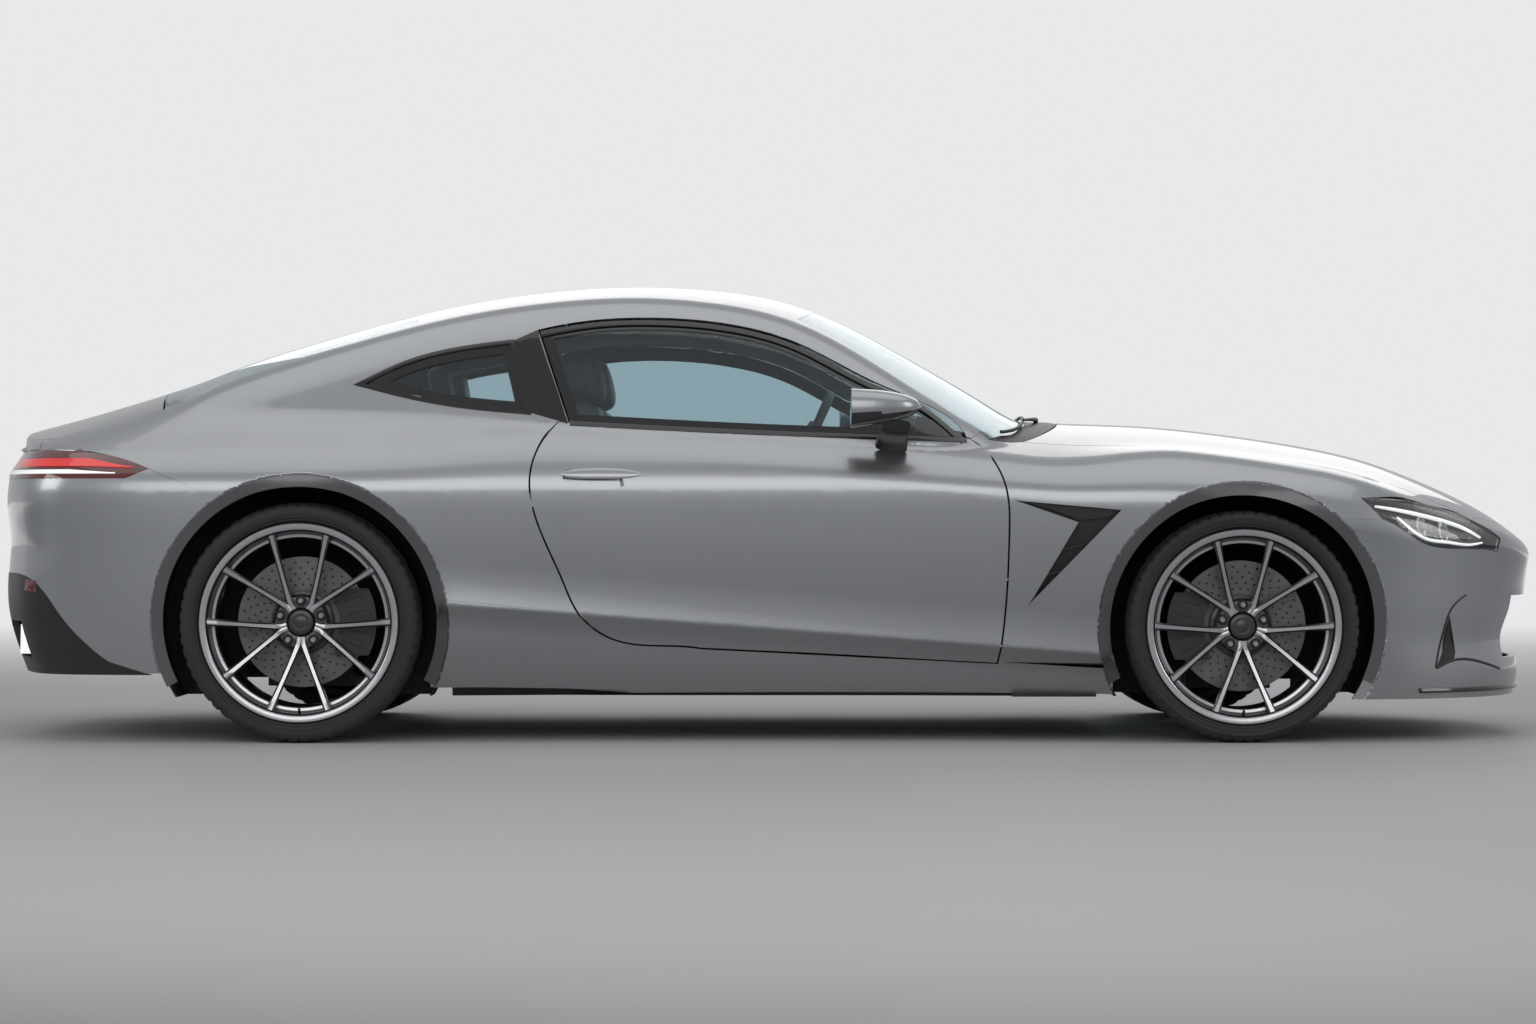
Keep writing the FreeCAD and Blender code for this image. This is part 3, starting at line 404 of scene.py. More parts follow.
def node_of(tree, kind, inputs=(), **settings):
    """A node with its settings and its unlinked inputs."""
    node = tree.nodes.new(kind)
    for key, value in settings.items():
        setattr(node, key, value)
    for key, value in dict(inputs).items():
        node.inputs[key].default_value = value
    return node


def group(name, inputs, outputs):
    """An empty shader group with named sockets."""
    tree = bpy.data.node_groups.new(name, "ShaderNodeTree")
    for label, kind, value in inputs:
        socket = tree.interface.new_socket(name=label, in_out="INPUT", socket_type=kind)
        socket.default_value = value
    for label, kind in outputs:
        tree.interface.new_socket(name=label, in_out="OUTPUT", socket_type=kind)
    return tree, tree.nodes.new("NodeGroupInput"), tree.nodes.new("NodeGroupOutput")


def mottle_group():
    """Soft change of a colour over the surface, and a grain to bump with."""
    tree, into, out = group("mottle", [("Colour", "NodeSocketColor", (0.5, 0.5, 0.5, 1)),
                                       ("Patch Scale", "NodeSocketFloat", 3.0),
                                       ("Patch Depth", "NodeSocketFloat", 0.1),
                                       ("Grain Scale", "NodeSocketFloat", 900.0)],
                            [("Colour", "NodeSocketColor"), ("Grain", "NodeSocketFloat"),
                             ("Patches", "NodeSocketFloat")])
    place = node_of(tree, "ShaderNodeTexCoord")
    patches = node_of(tree, "ShaderNodeTexNoise", {"Detail": 3.0, "Roughness": 0.6})
    grain = node_of(tree, "ShaderNodeTexNoise", {"Detail": 2.0, "Roughness": 0.5})
    swing = node_of(tree, "ShaderNodeMapRange", {"From Min": 0.3, "From Max": 0.7})
    low = node_of(tree, "ShaderNodeMath", operation="SUBTRACT", inputs={0: 1.0})
    shade = node_of(tree, "ShaderNodeVectorMath", operation="SCALE")
    link = tree.links.new
    link(place.outputs["Object"], patches.inputs["Vector"])
    link(place.outputs["Object"], grain.inputs["Vector"])
    link(into.outputs["Patch Scale"], patches.inputs["Scale"])
    link(into.outputs["Grain Scale"], grain.inputs["Scale"])
    link(into.outputs["Patch Depth"], low.inputs[1])
    link(patches.outputs["Fac"], swing.inputs["Value"])
    link(low.outputs[0], swing.inputs["To Min"])
    swing.inputs["To Max"].default_value = 1.0
    link(into.outputs["Colour"], shade.inputs[0])
    link(swing.outputs[0], shade.inputs["Scale"])
    link(shade.outputs[0], out.inputs["Colour"])
    link(grain.outputs["Fac"], out.inputs["Grain"])
    link(patches.outputs["Fac"], out.inputs["Patches"])
    return tree


def dust_group():
    """Road dust: a mask that thickens towards the ground, broken up by noise."""
    tree, into, out = group("road dust", [("Colour", "NodeSocketColor", (0.5, 0.5, 0.5, 1)),
                                          ("Dust Colour", "NodeSocketColor", (0.16, 0.145, 0.12, 1)),
                                          ("Top Height", "NodeSocketFloat", 0.5),
                                          ("Amount", "NodeSocketFloat", 0.3)],
                            [("Colour", "NodeSocketColor"), ("Mask", "NodeSocketFloat")])
    place = node_of(tree, "ShaderNodeTexCoord")
    parts = node_of(tree, "ShaderNodeSeparateXYZ")
    fall = node_of(tree, "ShaderNodeMapRange", {"From Max": 0.0, "To Min": 0.0, "To Max": 1.0})
    noise = node_of(tree, "ShaderNodeTexNoise", {"Scale": 14.0, "Detail": 6.0, "Roughness": 0.65})
    broken = node_of(tree, "ShaderNodeMath", operation="MULTIPLY")
    mask = node_of(tree, "ShaderNodeMath", operation="MULTIPLY")
    mix = node_of(tree, "ShaderNodeMix", data_type="RGBA")
    link = tree.links.new
    link(place.outputs["Object"], parts.inputs[0])
    link(place.outputs["Object"], noise.inputs["Vector"])
    link(parts.outputs["Z"], fall.inputs["Value"])
    link(into.outputs["Top Height"], fall.inputs["From Min"])
    link(fall.outputs[0], broken.inputs[0])
    link(noise.outputs["Fac"], broken.inputs[1])
    link(broken.outputs[0], mask.inputs[0])
    link(into.outputs["Amount"], mask.inputs[1])
    link(mask.outputs[0], mix.inputs["Factor"])
    link(into.outputs["Colour"], mix.inputs["A"])
    link(into.outputs["Dust Colour"], mix.inputs["B"])
    link(mix.outputs["Result"], out.inputs["Colour"])
    link(mask.outputs[0], out.inputs["Mask"])
    return tree


def hide_group():
    """Grained hide: pebbles with creases between them, as a height."""
    tree, into, out = group("hide", [("Scale", "NodeSocketFloat", 420.0)],
                            [("Height", "NodeSocketFloat")])
    place = node_of(tree, "ShaderNodeTexCoord")
    cells = node_of(tree, "ShaderNodeTexVoronoi", feature="DISTANCE_TO_EDGE")
    rise = node_of(tree, "ShaderNodeMapRange", {"From Max": 0.12})
    link = tree.links.new
    link(place.outputs["Object"], cells.inputs["Vector"])
    link(into.outputs["Scale"], cells.inputs["Scale"])
    link(cells.outputs["Distance"], rise.inputs["Value"])
    link(rise.outputs[0], out.inputs["Height"])
    return tree


MOTTLE, DUST, HIDE = mottle_group(), dust_group(), hide_group()


def new_material(name):
    """A material, its node tree and its shader."""
    material = bpy.data.materials.new(name)
    material.use_nodes = True
    return material, material.node_tree, material.node_tree.nodes["Principled BSDF"]


def finish(name, colour, rough=0.5, metal=0.0, patch_scale=3.0, patch_depth=0.08, grain=900.0, bump=0.0,
           rough_swing=0.06, dust=0.0, dust_top=0.45, hide=0.0, **sockets):
    """A Principled material: mottled colour, roughness that varies, grain or hide, and road dust."""
    material, tree, shader = new_material(name)
    link = tree.links.new
    shader.inputs["Metallic"].default_value = metal
    shader.inputs["Roughness"].default_value = rough
    for key, value in sockets.items():
        shader.inputs[key.replace("_", " ").title().replace("Ior", "IOR")].default_value = value
    mottle = node_of(tree, "ShaderNodeGroup", node_tree=MOTTLE)
    mottle.inputs["Colour"].default_value = (*colour, 1)
    mottle.inputs["Patch Scale"].default_value = patch_scale
    mottle.inputs["Patch Depth"].default_value = patch_depth
    mottle.inputs["Grain Scale"].default_value = grain
    coloured = mottle.outputs["Colour"]
    half = rough_swing / 2
    vary = node_of(tree, "ShaderNodeMapRange", {"To Min": rough - half, "To Max": rough + half})
    link(mottle.outputs["Patches"], vary.inputs["Value"])
    roughness = vary.outputs[0]
    if dust:
        film = node_of(tree, "ShaderNodeGroup", node_tree=DUST)
        film.inputs["Amount"].default_value = dust
        film.inputs["Top Height"].default_value = dust_top
        link(coloured, film.inputs["Colour"])
        coloured = film.outputs["Colour"]
        dull = node_of(tree, "ShaderNodeMath", operation="ADD", use_clamp=True)
        link(roughness, dull.inputs[0])
        link(film.outputs["Mask"], dull.inputs[1])
        roughness = dull.outputs[0]
    link(coloured, shader.inputs["Base Color"])
    link(roughness, shader.inputs["Roughness"])
    if bump or hide:
        relief = node_of(tree, "ShaderNodeBump", {"Strength": bump or hide, "Distance": 0.0006})
        height = mottle.outputs["Grain"]
        if hide:
            pebbles = node_of(tree, "ShaderNodeGroup", node_tree=HIDE)
            height = pebbles.outputs["Height"]
        link(height, relief.inputs["Height"])
        link(relief.outputs["Normal"], shader.inputs["Normal"])
    return material


def glassy(name, colour, tint):
    """Clear solid that lets light through without bending its shadow."""
    material, tree, shader = new_material(name)
    shader.inputs["Base Color"].default_value = (*colour, 1)
    shader.inputs["Transmission Weight"].default_value = 1.0
    shader.inputs["IOR"].default_value = 1.5
    noise = node_of(tree, "ShaderNodeTexNoise", {"Scale": 6.0, "Detail": 4.0})
    vary = node_of(tree, "ShaderNodeMapRange", {"To Min": 0.0, "To Max": 0.012})
    place = node_of(tree, "ShaderNodeTexCoord")
    clear = node_of(tree, "ShaderNodeBsdfTransparent", {"Color": (*tint, 1)})
    mix = node_of(tree, "ShaderNodeMixShader")
    rays = node_of(tree, "ShaderNodeLightPath")
    link = tree.links.new
    link(place.outputs["Object"], noise.inputs["Vector"])
    link(noise.outputs["Fac"], vary.inputs["Value"])
    link(vary.outputs[0], shader.inputs["Roughness"])
    link(rays.outputs["Is Shadow Ray"], mix.inputs["Fac"])
    link(shader.outputs[0], mix.inputs[1])
    link(clear.outputs[0], mix.inputs[2])
    link(mix.outputs[0], tree.nodes["Material Output"].inputs["Surface"])
    return material


CLEAR_COAT = {"coat_weight": 1.0, "coat_roughness": 0.03}
PAINT = finish("silver metallic paint", (0.36, 0.368, 0.38), 0.34, 0.88, patch_depth=0.02, grain=2600,
               bump=0.05, rough_swing=0.03, dust=0.25, dust_top=0.35, coat_ior=1.5, **CLEAR_COAT)
LINING = finish("primer and lining", (0.05, 0.051, 0.053), 0.7, bump=0.3)
GLOSS_BLACK = finish("gloss black trim", (0.009, 0.009, 0.01), 0.12, coat_weight=0.6, coat_roughness=0.04)
SATIN_BLACK = finish("satin black plastic", (0.014, 0.014, 0.015), 0.42, bump=0.25, dust=0.1)
RUBBER = finish("seal rubber", (0.012, 0.012, 0.012), 0.6, bump=0.2)
LINER = finish("moulded liner", (0.014, 0.014, 0.014), 0.8, bump=0.5, grain=500, dust=0.35, dust_top=0.7)
UNDERBODY = finish("underbody coating", (0.022, 0.022, 0.022), 0.75, bump=0.6, grain=350, dust=0.4,
                   dust_top=0.5)
FRAME_METAL = finish("cast frame metal", (0.09, 0.09, 0.092), 0.5, 0.7, bump=0.5, grain=260, dust=0.4)
ENGINE = finish("engine castings", (0.2, 0.2, 0.2), 0.45, 0.8, bump=0.5, grain=240)
TYRE = finish("tyre rubber", (0.016, 0.016, 0.0165), 0.62, bump=0.3, grain=500, dust=0.25, dust_top=0.7,
              patch_scale=9)
ALLOY_DARK = finish("dark alloy", (0.085, 0.087, 0.092), 0.3, 0.9, bump=0.06, grain=1500, coat_weight=0.7,
                    coat_roughness=0.08)
ALLOY_BRIGHT = finish("machined alloy", (0.5, 0.505, 0.515), 0.24, 0.95, bump=0.1, grain=1800, coat_weight=0.5,
                      coat_roughness=0.06)
IRON = finish("disc iron", (0.17, 0.168, 0.165), 0.38, 0.9, bump=0.15, grain=1200, patch_scale=12,
              patch_depth=0.25)
CALIPER = finish("caliper paint", (0.035, 0.036, 0.038), 0.35, 0.2, bump=0.1, coat_weight=0.4,
                 coat_roughness=0.1)
CHROME = finish("bright steel", (0.6, 0.6, 0.605), 0.14, 1.0, patch_scale=8, patch_depth=0.12)
CABIN_TRIM = finish("cabin trim", (0.03, 0.031, 0.034), 0.6, hide=0.25)
CARPET = finish("cabin carpet", (0.02, 0.02, 0.022), 0.95, bump=1.0, grain=1400, sheen_weight=0.4)
LEATHER = finish("seat leather", (0.045, 0.047, 0.052), 0.42, hide=0.35, patch_scale=6, patch_depth=0.15)
REFLECTOR = finish("mirror bright", (0.8, 0.81, 0.82), 0.04, 1.0, patch_depth=0.02)
GLASS = glassy("tinted glass", (0.56, 0.68, 0.72), (0.42, 0.52, 0.55))
LENS = glassy("clear lens", (0.97, 0.98, 0.98), (0.9, 0.92, 0.92))
RED_GLOW = finish("red lamp core", (0.55, 0.012, 0.012), 0.2, emission_color=(1.0, 0.03, 0.02, 1),
                  emission_strength=0.35, **CLEAR_COAT)
RED_DEEP = finish("deep red lens", (0.12, 0.003, 0.005), 0.1, **CLEAR_COAT)
LIGHT_STRIP = finish("light guide", (0.85, 0.86, 0.88), 0.2, emission_color=(1, 1, 1, 1),
                     emission_strength=0.5, **CLEAR_COAT)

# Finish and slot of the black trims
BLACK, SATIN = (GLOSS_BLACK, "dark_trim"), (SATIN_BLACK, "dark_trim")


# Painted panels: the CAD node's outline, with its outer face drawn onto the exact skin

def triangles(bm):
    """Points and triangles of a bmesh, which is freed."""
    bmesh.ops.triangulate(bm, faces=bm.faces[:])
    bm.verts.index_update()
    points = np.array([v.co for v in bm.verts])
    faces = np.array([[v.index for v in f.verts] for f in bm.faces])
    bm.free()
    return points, faces


def merged(mesh):
    """Points and triangles of a mesh whose doubles are merged."""
    bm = bmesh.new()
    bm.from_mesh(mesh)
    bmesh.ops.remove_doubles(bm, verts=bm.verts[:], dist=2e-5)
    bmesh.ops.dissolve_degenerate(bm, edges=bm.edges[:], dist=2e-6)
    points, faces = triangles(bm)
    return points / MM, faces


def carved(points, faces, cutters):
    """The closed mesh less the cutters, by Blender's exact boolean."""
    mesh = bpy.data.meshes.new("raw panel")
    mesh.from_pydata(points.tolist(), [], faces.tolist())
    raw = into_scene("raw panel", mesh)
    for cutter in cutters:
        step = raw.modifiers.new("pocket", "BOOLEAN")
        step.operation, step.solver, step.object = "DIFFERENCE", "EXACT", cutter
    bm = bmesh.new()
    bm.from_mesh(evaluated(raw))
    bpy.data.objects.remove(raw)
    return triangles(bm)


def prism(outline, near, far):
    """A cutter through the flank on a side outline, in millimetres."""
    bm = bmesh.new()
    loop = [bm.verts.new((x, near, z)) for x, z in outline]
    face = bm.faces.new(loop)
    moved = bmesh.ops.extrude_face_region(bm, geom=[face])
    for v in moved["geom"]:
        if isinstance(v, bmesh.types.BMVert):
            v.co.y = far
    bmesh.ops.triangulate(bm, faces=bm.faces[:])
    bmesh.ops.recalc_face_normals(bm, faces=bm.faces[:])
    mesh = bpy.data.meshes.new("cutter")
    bm.to_mesh(mesh)
    bm.free()
    return into_scene("cutter", mesh)


def guides(p):
    """Distance to the nearest line on the skin that needs a fine mesh, and the move onto it."""
    x, z = p[:, 0], p[:, 2]
    best, move = np.full(len(p), 1e9), np.zeros((len(p), 3))
    for end, (cx, cz) in WHEEL.items():
        r = np.hypot(x - cx, z - cz)
        off = ARCH[end] + LIP_WIDTH - r
        near = (np.abs(off) < best) & (np.abs(p[:, 1]) > 600)
        best = np.where(near, np.abs(off), best)
        out = np.stack([(x - cx) / r, 0 * x, (z - cz) / r], -1)
        move = np.where(near[:, None], out * off[:, None], move)
    off = crease_z(x) - z
    near = (np.abs(off) < best) & (np.abs(x - 20) < 1130) & (np.abs(p[:, 1]) > 600)
    best = np.where(near, np.abs(off), best)
    move = np.where(near[:, None], np.stack([0 * x, 0 * x, off], -1), move)
    return best, move


FINE_EDGE, COARSE_EDGE, SPLIT_ROUNDS = 7, 26, 7
SNAP_REACH = 3.2


def refined(points, faces, depth):
    """Triangles split until the outer skin's edges are short, shortest near the guides."""
    for _ in range(SPLIT_ROUNDS):
        pairs = np.sort(faces[:, [0, 1, 1, 2, 2, 0]].reshape(-1, 2), axis=1)
        edges, back = np.unique(pairs, axis=0, return_inverse=True)
        back = back.reshape(-1, 3)
        ends = points[edges]
        length = np.linalg.norm(ends[:, 0] - ends[:, 1], axis=1)
        middle = ends.mean(1)
        near = guides(middle)[0]
        wanted = np.clip(FINE_EDGE + 0.35 * np.maximum(near - 4, 0), FINE_EDGE, COARSE_EDGE)
        outer = np.abs(skin(points)) < depth
        split = (length > wanted * 1.4) & outer[edges].all(1)
        if not split.any():
            break
        spot = np.full(len(edges), -1)
        spot[split] = len(points) + np.arange(split.sum())
        points = np.concatenate([points, middle[split]])
        mids = spot[back]
        count = (mids >= 0).sum(1)
        result = [faces[count == 0]]
        for wanted_count in (1, 2, 3):
            f, m = faces[count == wanted_count], mids[count == wanted_count]
            if not len(f):
                continue
            if wanted_count < 3:
                odd = np.argmax(m >= 0, 1) if wanted_count == 1 else (np.argmax(m < 0, 1) + 1) % 3
                order = (odd[:, None] + np.arange(3)) % 3
                f, m = np.take_along_axis(f, order, 1), np.take_along_axis(m, order, 1)
            a, b, c = f.T
            ab, bc, ca = m.T
            if wanted_count == 1:
                parts = [(a, ab, c), (ab, b, c)]
            elif wanted_count == 2:
                parts = [(ab, b, bc), (a, ab, bc), (a, bc, c)]
            else:
                parts = [(a, ab, ca), (ab, b, bc), (ca, bc, c), (ab, bc, ca)]
            result += [np.stack(part, 1) for part in parts]
        faces = np.concatenate(result)
        fresh = np.arange(len(points)) >= len(points) - split.sum()
        points[fresh] = onto(points[fresh])
    return points, faces


def face_normals(points, faces):
    a, b, c = (points[faces[:, k]] for k in range(3))
    return unit(np.cross(b - a, c - a))


def painted(node, body, cutters=(), inside=LINING, form=look, depth=9, coat=PAINT):
    """The panel that stands for a CAD node, with its outer face drawn onto the skin."""
    points, faces = merged(nodes[node].data)
    if cutters:
        points, faces = carved(points, faces, cutters)
    points, faces = refined(points, faces, depth)
    normal = face_normals(points, faces)
    outward = unit(slope(points[faces].mean(1)))
    facing = (normal * outward).sum(1)
    outer_point = np.abs(skin(points)) < depth
    outer = outer_point[faces].all(1) & (facing > 0.5)
    rim = np.zeros(len(points), bool)
    rim[faces[~outer].ravel()] = True
    on_outer = np.zeros(len(points), bool)
    on_outer[faces[outer].ravel()] = True
    near, move = guides(points)
    snap = on_outer & ~rim & (near < SNAP_REACH)
    points[snap] += move[snap]
    points[on_outer] = onto(points[on_outer], form)
    mesh = bpy.data.meshes.new(node + "_skin")
    mesh.from_pydata((points * MM).tolist(), [], faces.tolist())
    for material in (coat, inside):
        mesh.materials.append(material)
    normal = face_normals(points, faces)
    corners = np.repeat(normal[:, None], 3, 1)
    centre = points[faces].mean(1, keepdims=True)
    spots = points[faces] * 0.88 + centre * 0.12
    corners[outer] = unit(slope(spots[outer], form))
    inner = (facing < -0.5) & (np.abs(skin(points)) > depth)[faces].all(1)
    corners[inner] = -unit(slope(spots[inner], step=20))
    mesh.polygons.foreach_set("use_smooth", [True] * len(faces))
    mesh.polygons.foreach_set("material_index", inner.astype(np.int32))
    mesh.update()
    mesh.normals_split_custom_set(corners.reshape(-1, 3).tolist())
    piece = rider(node + "_skin", mesh, body)
    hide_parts(node)


def recess(count, inset):
    """Lens-shaped outline of the recess behind a door handle."""
    x, z, half, tall = HANDLE
    turn = circle(count)
    return np.stack([x + (half - 1 - inset) * np.cos(turn),
                     z + (tall - inset) * np.sin(turn) * np.abs(np.sin(turn)) ** 0.35], -1)


def pockets():
    """Cutters for the fender's vent and the door's handle, on both sides."""
    cutters = {}
    for side, hand in SIDES.items():
        cutters["fender_" + side] = [prism(grown(traced(VENT, 30), -1.0), hand * 1100, hand * 800)]
        cutters["door_" + side] = [prism(recess(40, 3), hand * 1100, hand * 921)]
    return cutters


CUTS = pockets()
PAINTED = {"roof": "root", "boot_lid": "boot_lid", "hood": "hood", "side_skirts": "root",
           "front_bumper": "root", "rear_bumper": "root"}
for side in SIDES:
    PAINTED["body_side_" + side] = "root"
    PAINTED["fender_" + side] = "root"
    PAINTED["door_" + side] = "door_" + side
for node, body in PAINTED.items():
    trimmed = node == "roof" or node.startswith(("door", "body_side"))
    painted(node, body, CUTS.get(node, ()), CABIN_TRIM if trimmed else LINING,
            depth=25 if "side" in node else 15 if node.startswith(("door", "fender")) else 9)
for cutter in [c for pair in CUTS.values() for c in pair]:
    bpy.data.objects.remove(cutter)

# CAD nodes whose shape is right keep it, with a finish
KEPT = {"cowl": SATIN_BLACK, "diffuser": SATIN_BLACK, "grille": GLOSS_BLACK, "arch_liners": LINER,
        "firewall": LINER, "parcel_shelf": CARPET, "windscreen": GLASS, "rear_window": GLASS, "quarter_windows": GLASS,
        "exhaust": CHROME, "dashboard": CABIN_TRIM, "floor_pan": UNDERBODY, "front_subframe": FRAME_METAL,
        "rear_subframe": FRAME_METAL, "engine": ENGINE, "steering_wheel": LEATHER, "front_seats": LEATHER,
        "rear_seats": LEATHER}
for side in SIDES:
    KEPT["door_glass_" + side] = GLASS
    KEPT["mirror_" + side] = PAINT
    for end in ENDS:
        for kind, material in (("tyre", TYRE), ("rim", ALLOY_DARK), ("disc", IRON), ("knuckle", CALIPER)):
            KEPT["%s_%s_%s" % (kind, end, side)] = material
for node, material in KEPT.items():
    nodes[node].data.materials.clear()
    nodes[node].data.materials.append(material)


# What repeats, by Geometry Nodes

def geometry_tree(name, inputs):
    """A geometry tree with named inputs."""
    tree = bpy.data.node_groups.new(name, "GeometryNodeTree")
    tree.interface.new_socket(name="Geometry", in_out="INPUT", socket_type="NodeSocketGeometry")
    tree.interface.new_socket(name="Geometry", in_out="OUTPUT", socket_type="NodeSocketGeometry")
    for label, kind, value in inputs:
        socket = tree.interface.new_socket(name=label, in_out="INPUT", socket_type=kind)
        if value is not None:
            socket.default_value = value
    return tree, tree.nodes.new("NodeGroupInput"), tree.nodes.new("NodeGroupOutput")


def maths(tree, operation, a, b=None):
    """A maths node over sockets or numbers, and its result."""
    node = node_of(tree, "ShaderNodeMath", operation=operation)
    for slot_index, value in enumerate((a, b)):
        if value is None:
            continue
        if isinstance(value, (int, float)):
            node.inputs[slot_index].default_value = value
        else:
            tree.links.new(value, node.inputs[slot_index])
    return node.outputs[0]


def points_at(tree, count, spot, origin):
    """That many points, each at a spot from the origin."""
    place = node_of(tree, "ShaderNodeVectorMath", operation="ADD")
    tree.links.new(spot, place.inputs[0])
    tree.links.new(origin, place.inputs[1])
    points = node_of(tree, "GeometryNodePoints")
    tree.links.new(count, points.inputs["Count"])
    tree.links.new(place.outputs[0], points.inputs["Position"])
    return points.outputs[0]


def finish_tree(tree, into, out, points, shape, turn=None):
    """Shape on each point, realized, with the finish of the tree's input."""
    link = tree.links.new
    copies = node_of(tree, "GeometryNodeInstanceOnPoints")
    link(points, copies.inputs["Points"])
    link(shape, copies.inputs["Instance"])
    if turn is not None:
        link(turn, copies.inputs["Rotation"])
    real = node_of(tree, "GeometryNodeRealizeInstances")
    link(copies.outputs[0], real.inputs[0])
    coat = node_of(tree, "GeometryNodeSetMaterial")
    link(real.outputs[0], coat.inputs["Geometry"])
    link(into.outputs["Finish"], coat.inputs["Material"])
    link(coat.outputs[0], out.inputs[0])
    return tree


def stud_tree():
    """Studs in rings about an axis across the car: lug nuts, and flat black discs that paint the shade in the holes of
    a drilled disc.
    """
    tree, into, out = geometry_tree("rings of studs", [
        ("Count", "NodeSocketInt", 5), ("Rows", "NodeSocketInt", 1), ("Radius", "NodeSocketFloat", 0.064),
        ("Row Step", "NodeSocketFloat", 0.0), ("Row Twist", "NodeSocketFloat", 0.0),
        ("Start", "NodeSocketFloat", math.pi / 2), ("Stud Radius", "NodeSocketFloat", 0.01),
        ("Stud Height", "NodeSocketFloat", 0.02), ("Sides", "NodeSocketInt", 6),
        ("Taper", "NodeSocketFloat", 0.8), ("Centre", "NodeSocketVector", (0, 0, 0)),
        ("Tilt", "NodeSocketVector", (0, 0, 0)), ("Finish", "NodeSocketMaterial", None)])
    link = tree.links.new
    index = node_of(tree, "GeometryNodeInputIndex").outputs[0]
    row = maths(tree, "MODULO", index, into.outputs["Rows"])
    step = maths(tree, "FLOOR", maths(tree, "DIVIDE", index, into.outputs["Rows"]))
    per_row = maths(tree, "DIVIDE", into.outputs["Count"], into.outputs["Rows"])
    angle = maths(tree, "MULTIPLY", maths(tree, "DIVIDE", step, per_row), 2 * math.pi)
    angle = maths(tree, "ADD", angle, maths(tree, "MULTIPLY", row, into.outputs["Row Twist"]))
    angle = maths(tree, "ADD", angle, into.outputs["Start"])
    further = maths(tree, "MULTIPLY", row, into.outputs["Row Step"])
    radius = maths(tree, "ADD", into.outputs["Radius"], further)
    spot = node_of(tree, "ShaderNodeCombineXYZ")
    link(maths(tree, "MULTIPLY", radius, maths(tree, "COSINE", angle)), spot.inputs[0])
    link(maths(tree, "MULTIPLY", radius, maths(tree, "SINE", angle)), spot.inputs[2])
    points = points_at(tree, into.outputs["Count"], spot.outputs[0], into.outputs["Centre"])
    stud = node_of(tree, "GeometryNodeMeshCone")
    link(into.outputs["Sides"], stud.inputs["Vertices"])
    link(into.outputs["Stud Radius"], stud.inputs["Radius Bottom"])
    top = maths(tree, "MULTIPLY", into.outputs["Stud Radius"], into.outputs["Taper"])
    link(top, stud.inputs["Radius Top"])
    link(into.outputs["Stud Height"], stud.inputs["Depth"])
    return finish_tree(tree, into, out, points, stud.outputs[0], into.outputs["Tilt"])


def comb_tree():
    """Hexagonal cells in staggered rows on an upright plane across the car, for a grille."""
    tree, into, out = geometry_tree("honeycomb", [
        ("Columns", "NodeSocketInt", 10), ("Rows", "NodeSocketInt", 4), ("Pitch", "NodeSocketFloat", 0.026),
        ("Bar", "NodeSocketFloat", 0.0022), ("Corner", "NodeSocketVector", (0, 0, 0)),
        ("Finish", "NodeSocketMaterial", None)])
    link = tree.links.new
    index = node_of(tree, "GeometryNodeInputIndex").outputs[0]
    column = maths(tree, "MODULO", index, into.outputs["Columns"])
    row = maths(tree, "FLOOR", maths(tree, "DIVIDE", index, into.outputs["Columns"]))
    shift = maths(tree, "MULTIPLY", maths(tree, "MODULO", row, 2.0), 0.5)
    spot = node_of(tree, "ShaderNodeCombineXYZ")
    link(maths(tree, "MULTIPLY", maths(tree, "ADD", column, shift), into.outputs["Pitch"]), spot.inputs[1])
    link(maths(tree, "MULTIPLY", maths(tree, "MULTIPLY", row, into.outputs["Pitch"]), 0.866), spot.inputs[2])
    count = maths(tree, "MULTIPLY", into.outputs["Columns"], into.outputs["Rows"])
    points = points_at(tree, count, spot.outputs[0], into.outputs["Corner"])
    ring = node_of(tree, "GeometryNodeCurvePrimitiveCircle", {"Resolution": 6})
    link(maths(tree, "MULTIPLY", into.outputs["Pitch"], 0.55), ring.inputs["Radius"])
    bar = node_of(tree, "GeometryNodeCurvePrimitiveCircle", {"Resolution": 4})
    link(into.outputs["Bar"], bar.inputs["Radius"])
    cell = node_of(tree, "GeometryNodeCurveToMesh")
    link(ring.outputs[0], cell.inputs["Curve"])
    link(bar.outputs[0], cell.inputs["Profile Curve"])
    upright = node_of(tree, "GeometryNodeTransform", {"Rotation": (math.radians(30), math.radians(90), 0)})
    link(cell.outputs[0], upright.inputs["Geometry"])
    return finish_tree(tree, into, out, points, upright.outputs[0])


STUDS, COMB = stud_tree(), comb_tree()


def repeated(name, tree, body, slot, **values):
    """A piece made by a geometry tree, as a plain mesh."""
    holder = into_scene(name + " maker", bpy.data.meshes.new(name + " maker"))
    maker = holder.modifiers.new("maker", "NODES")
    maker.node_group = tree
    for item in tree.interface.items_tree:
        key = item.name.replace(" ", "_").lower()
        if item.in_out == "INPUT" and key in values:
            maker[item.identifier] = values[key]
    mesh = evaluated(holder)
    holder.modifiers.clear()
    bpy.data.objects.remove(holder)
    mesh.name = name
    return rider(name, mesh, body)


# Wheels

TRACK = {"front": 808, "rear": 804}
TREAD = {"front": 268, "rear": 302}
SEAT = {"front": 272, "rear": 278}
HUB_OFFSET, SPREAD = 40, 18.5
TYRE_SEGMENTS = 240


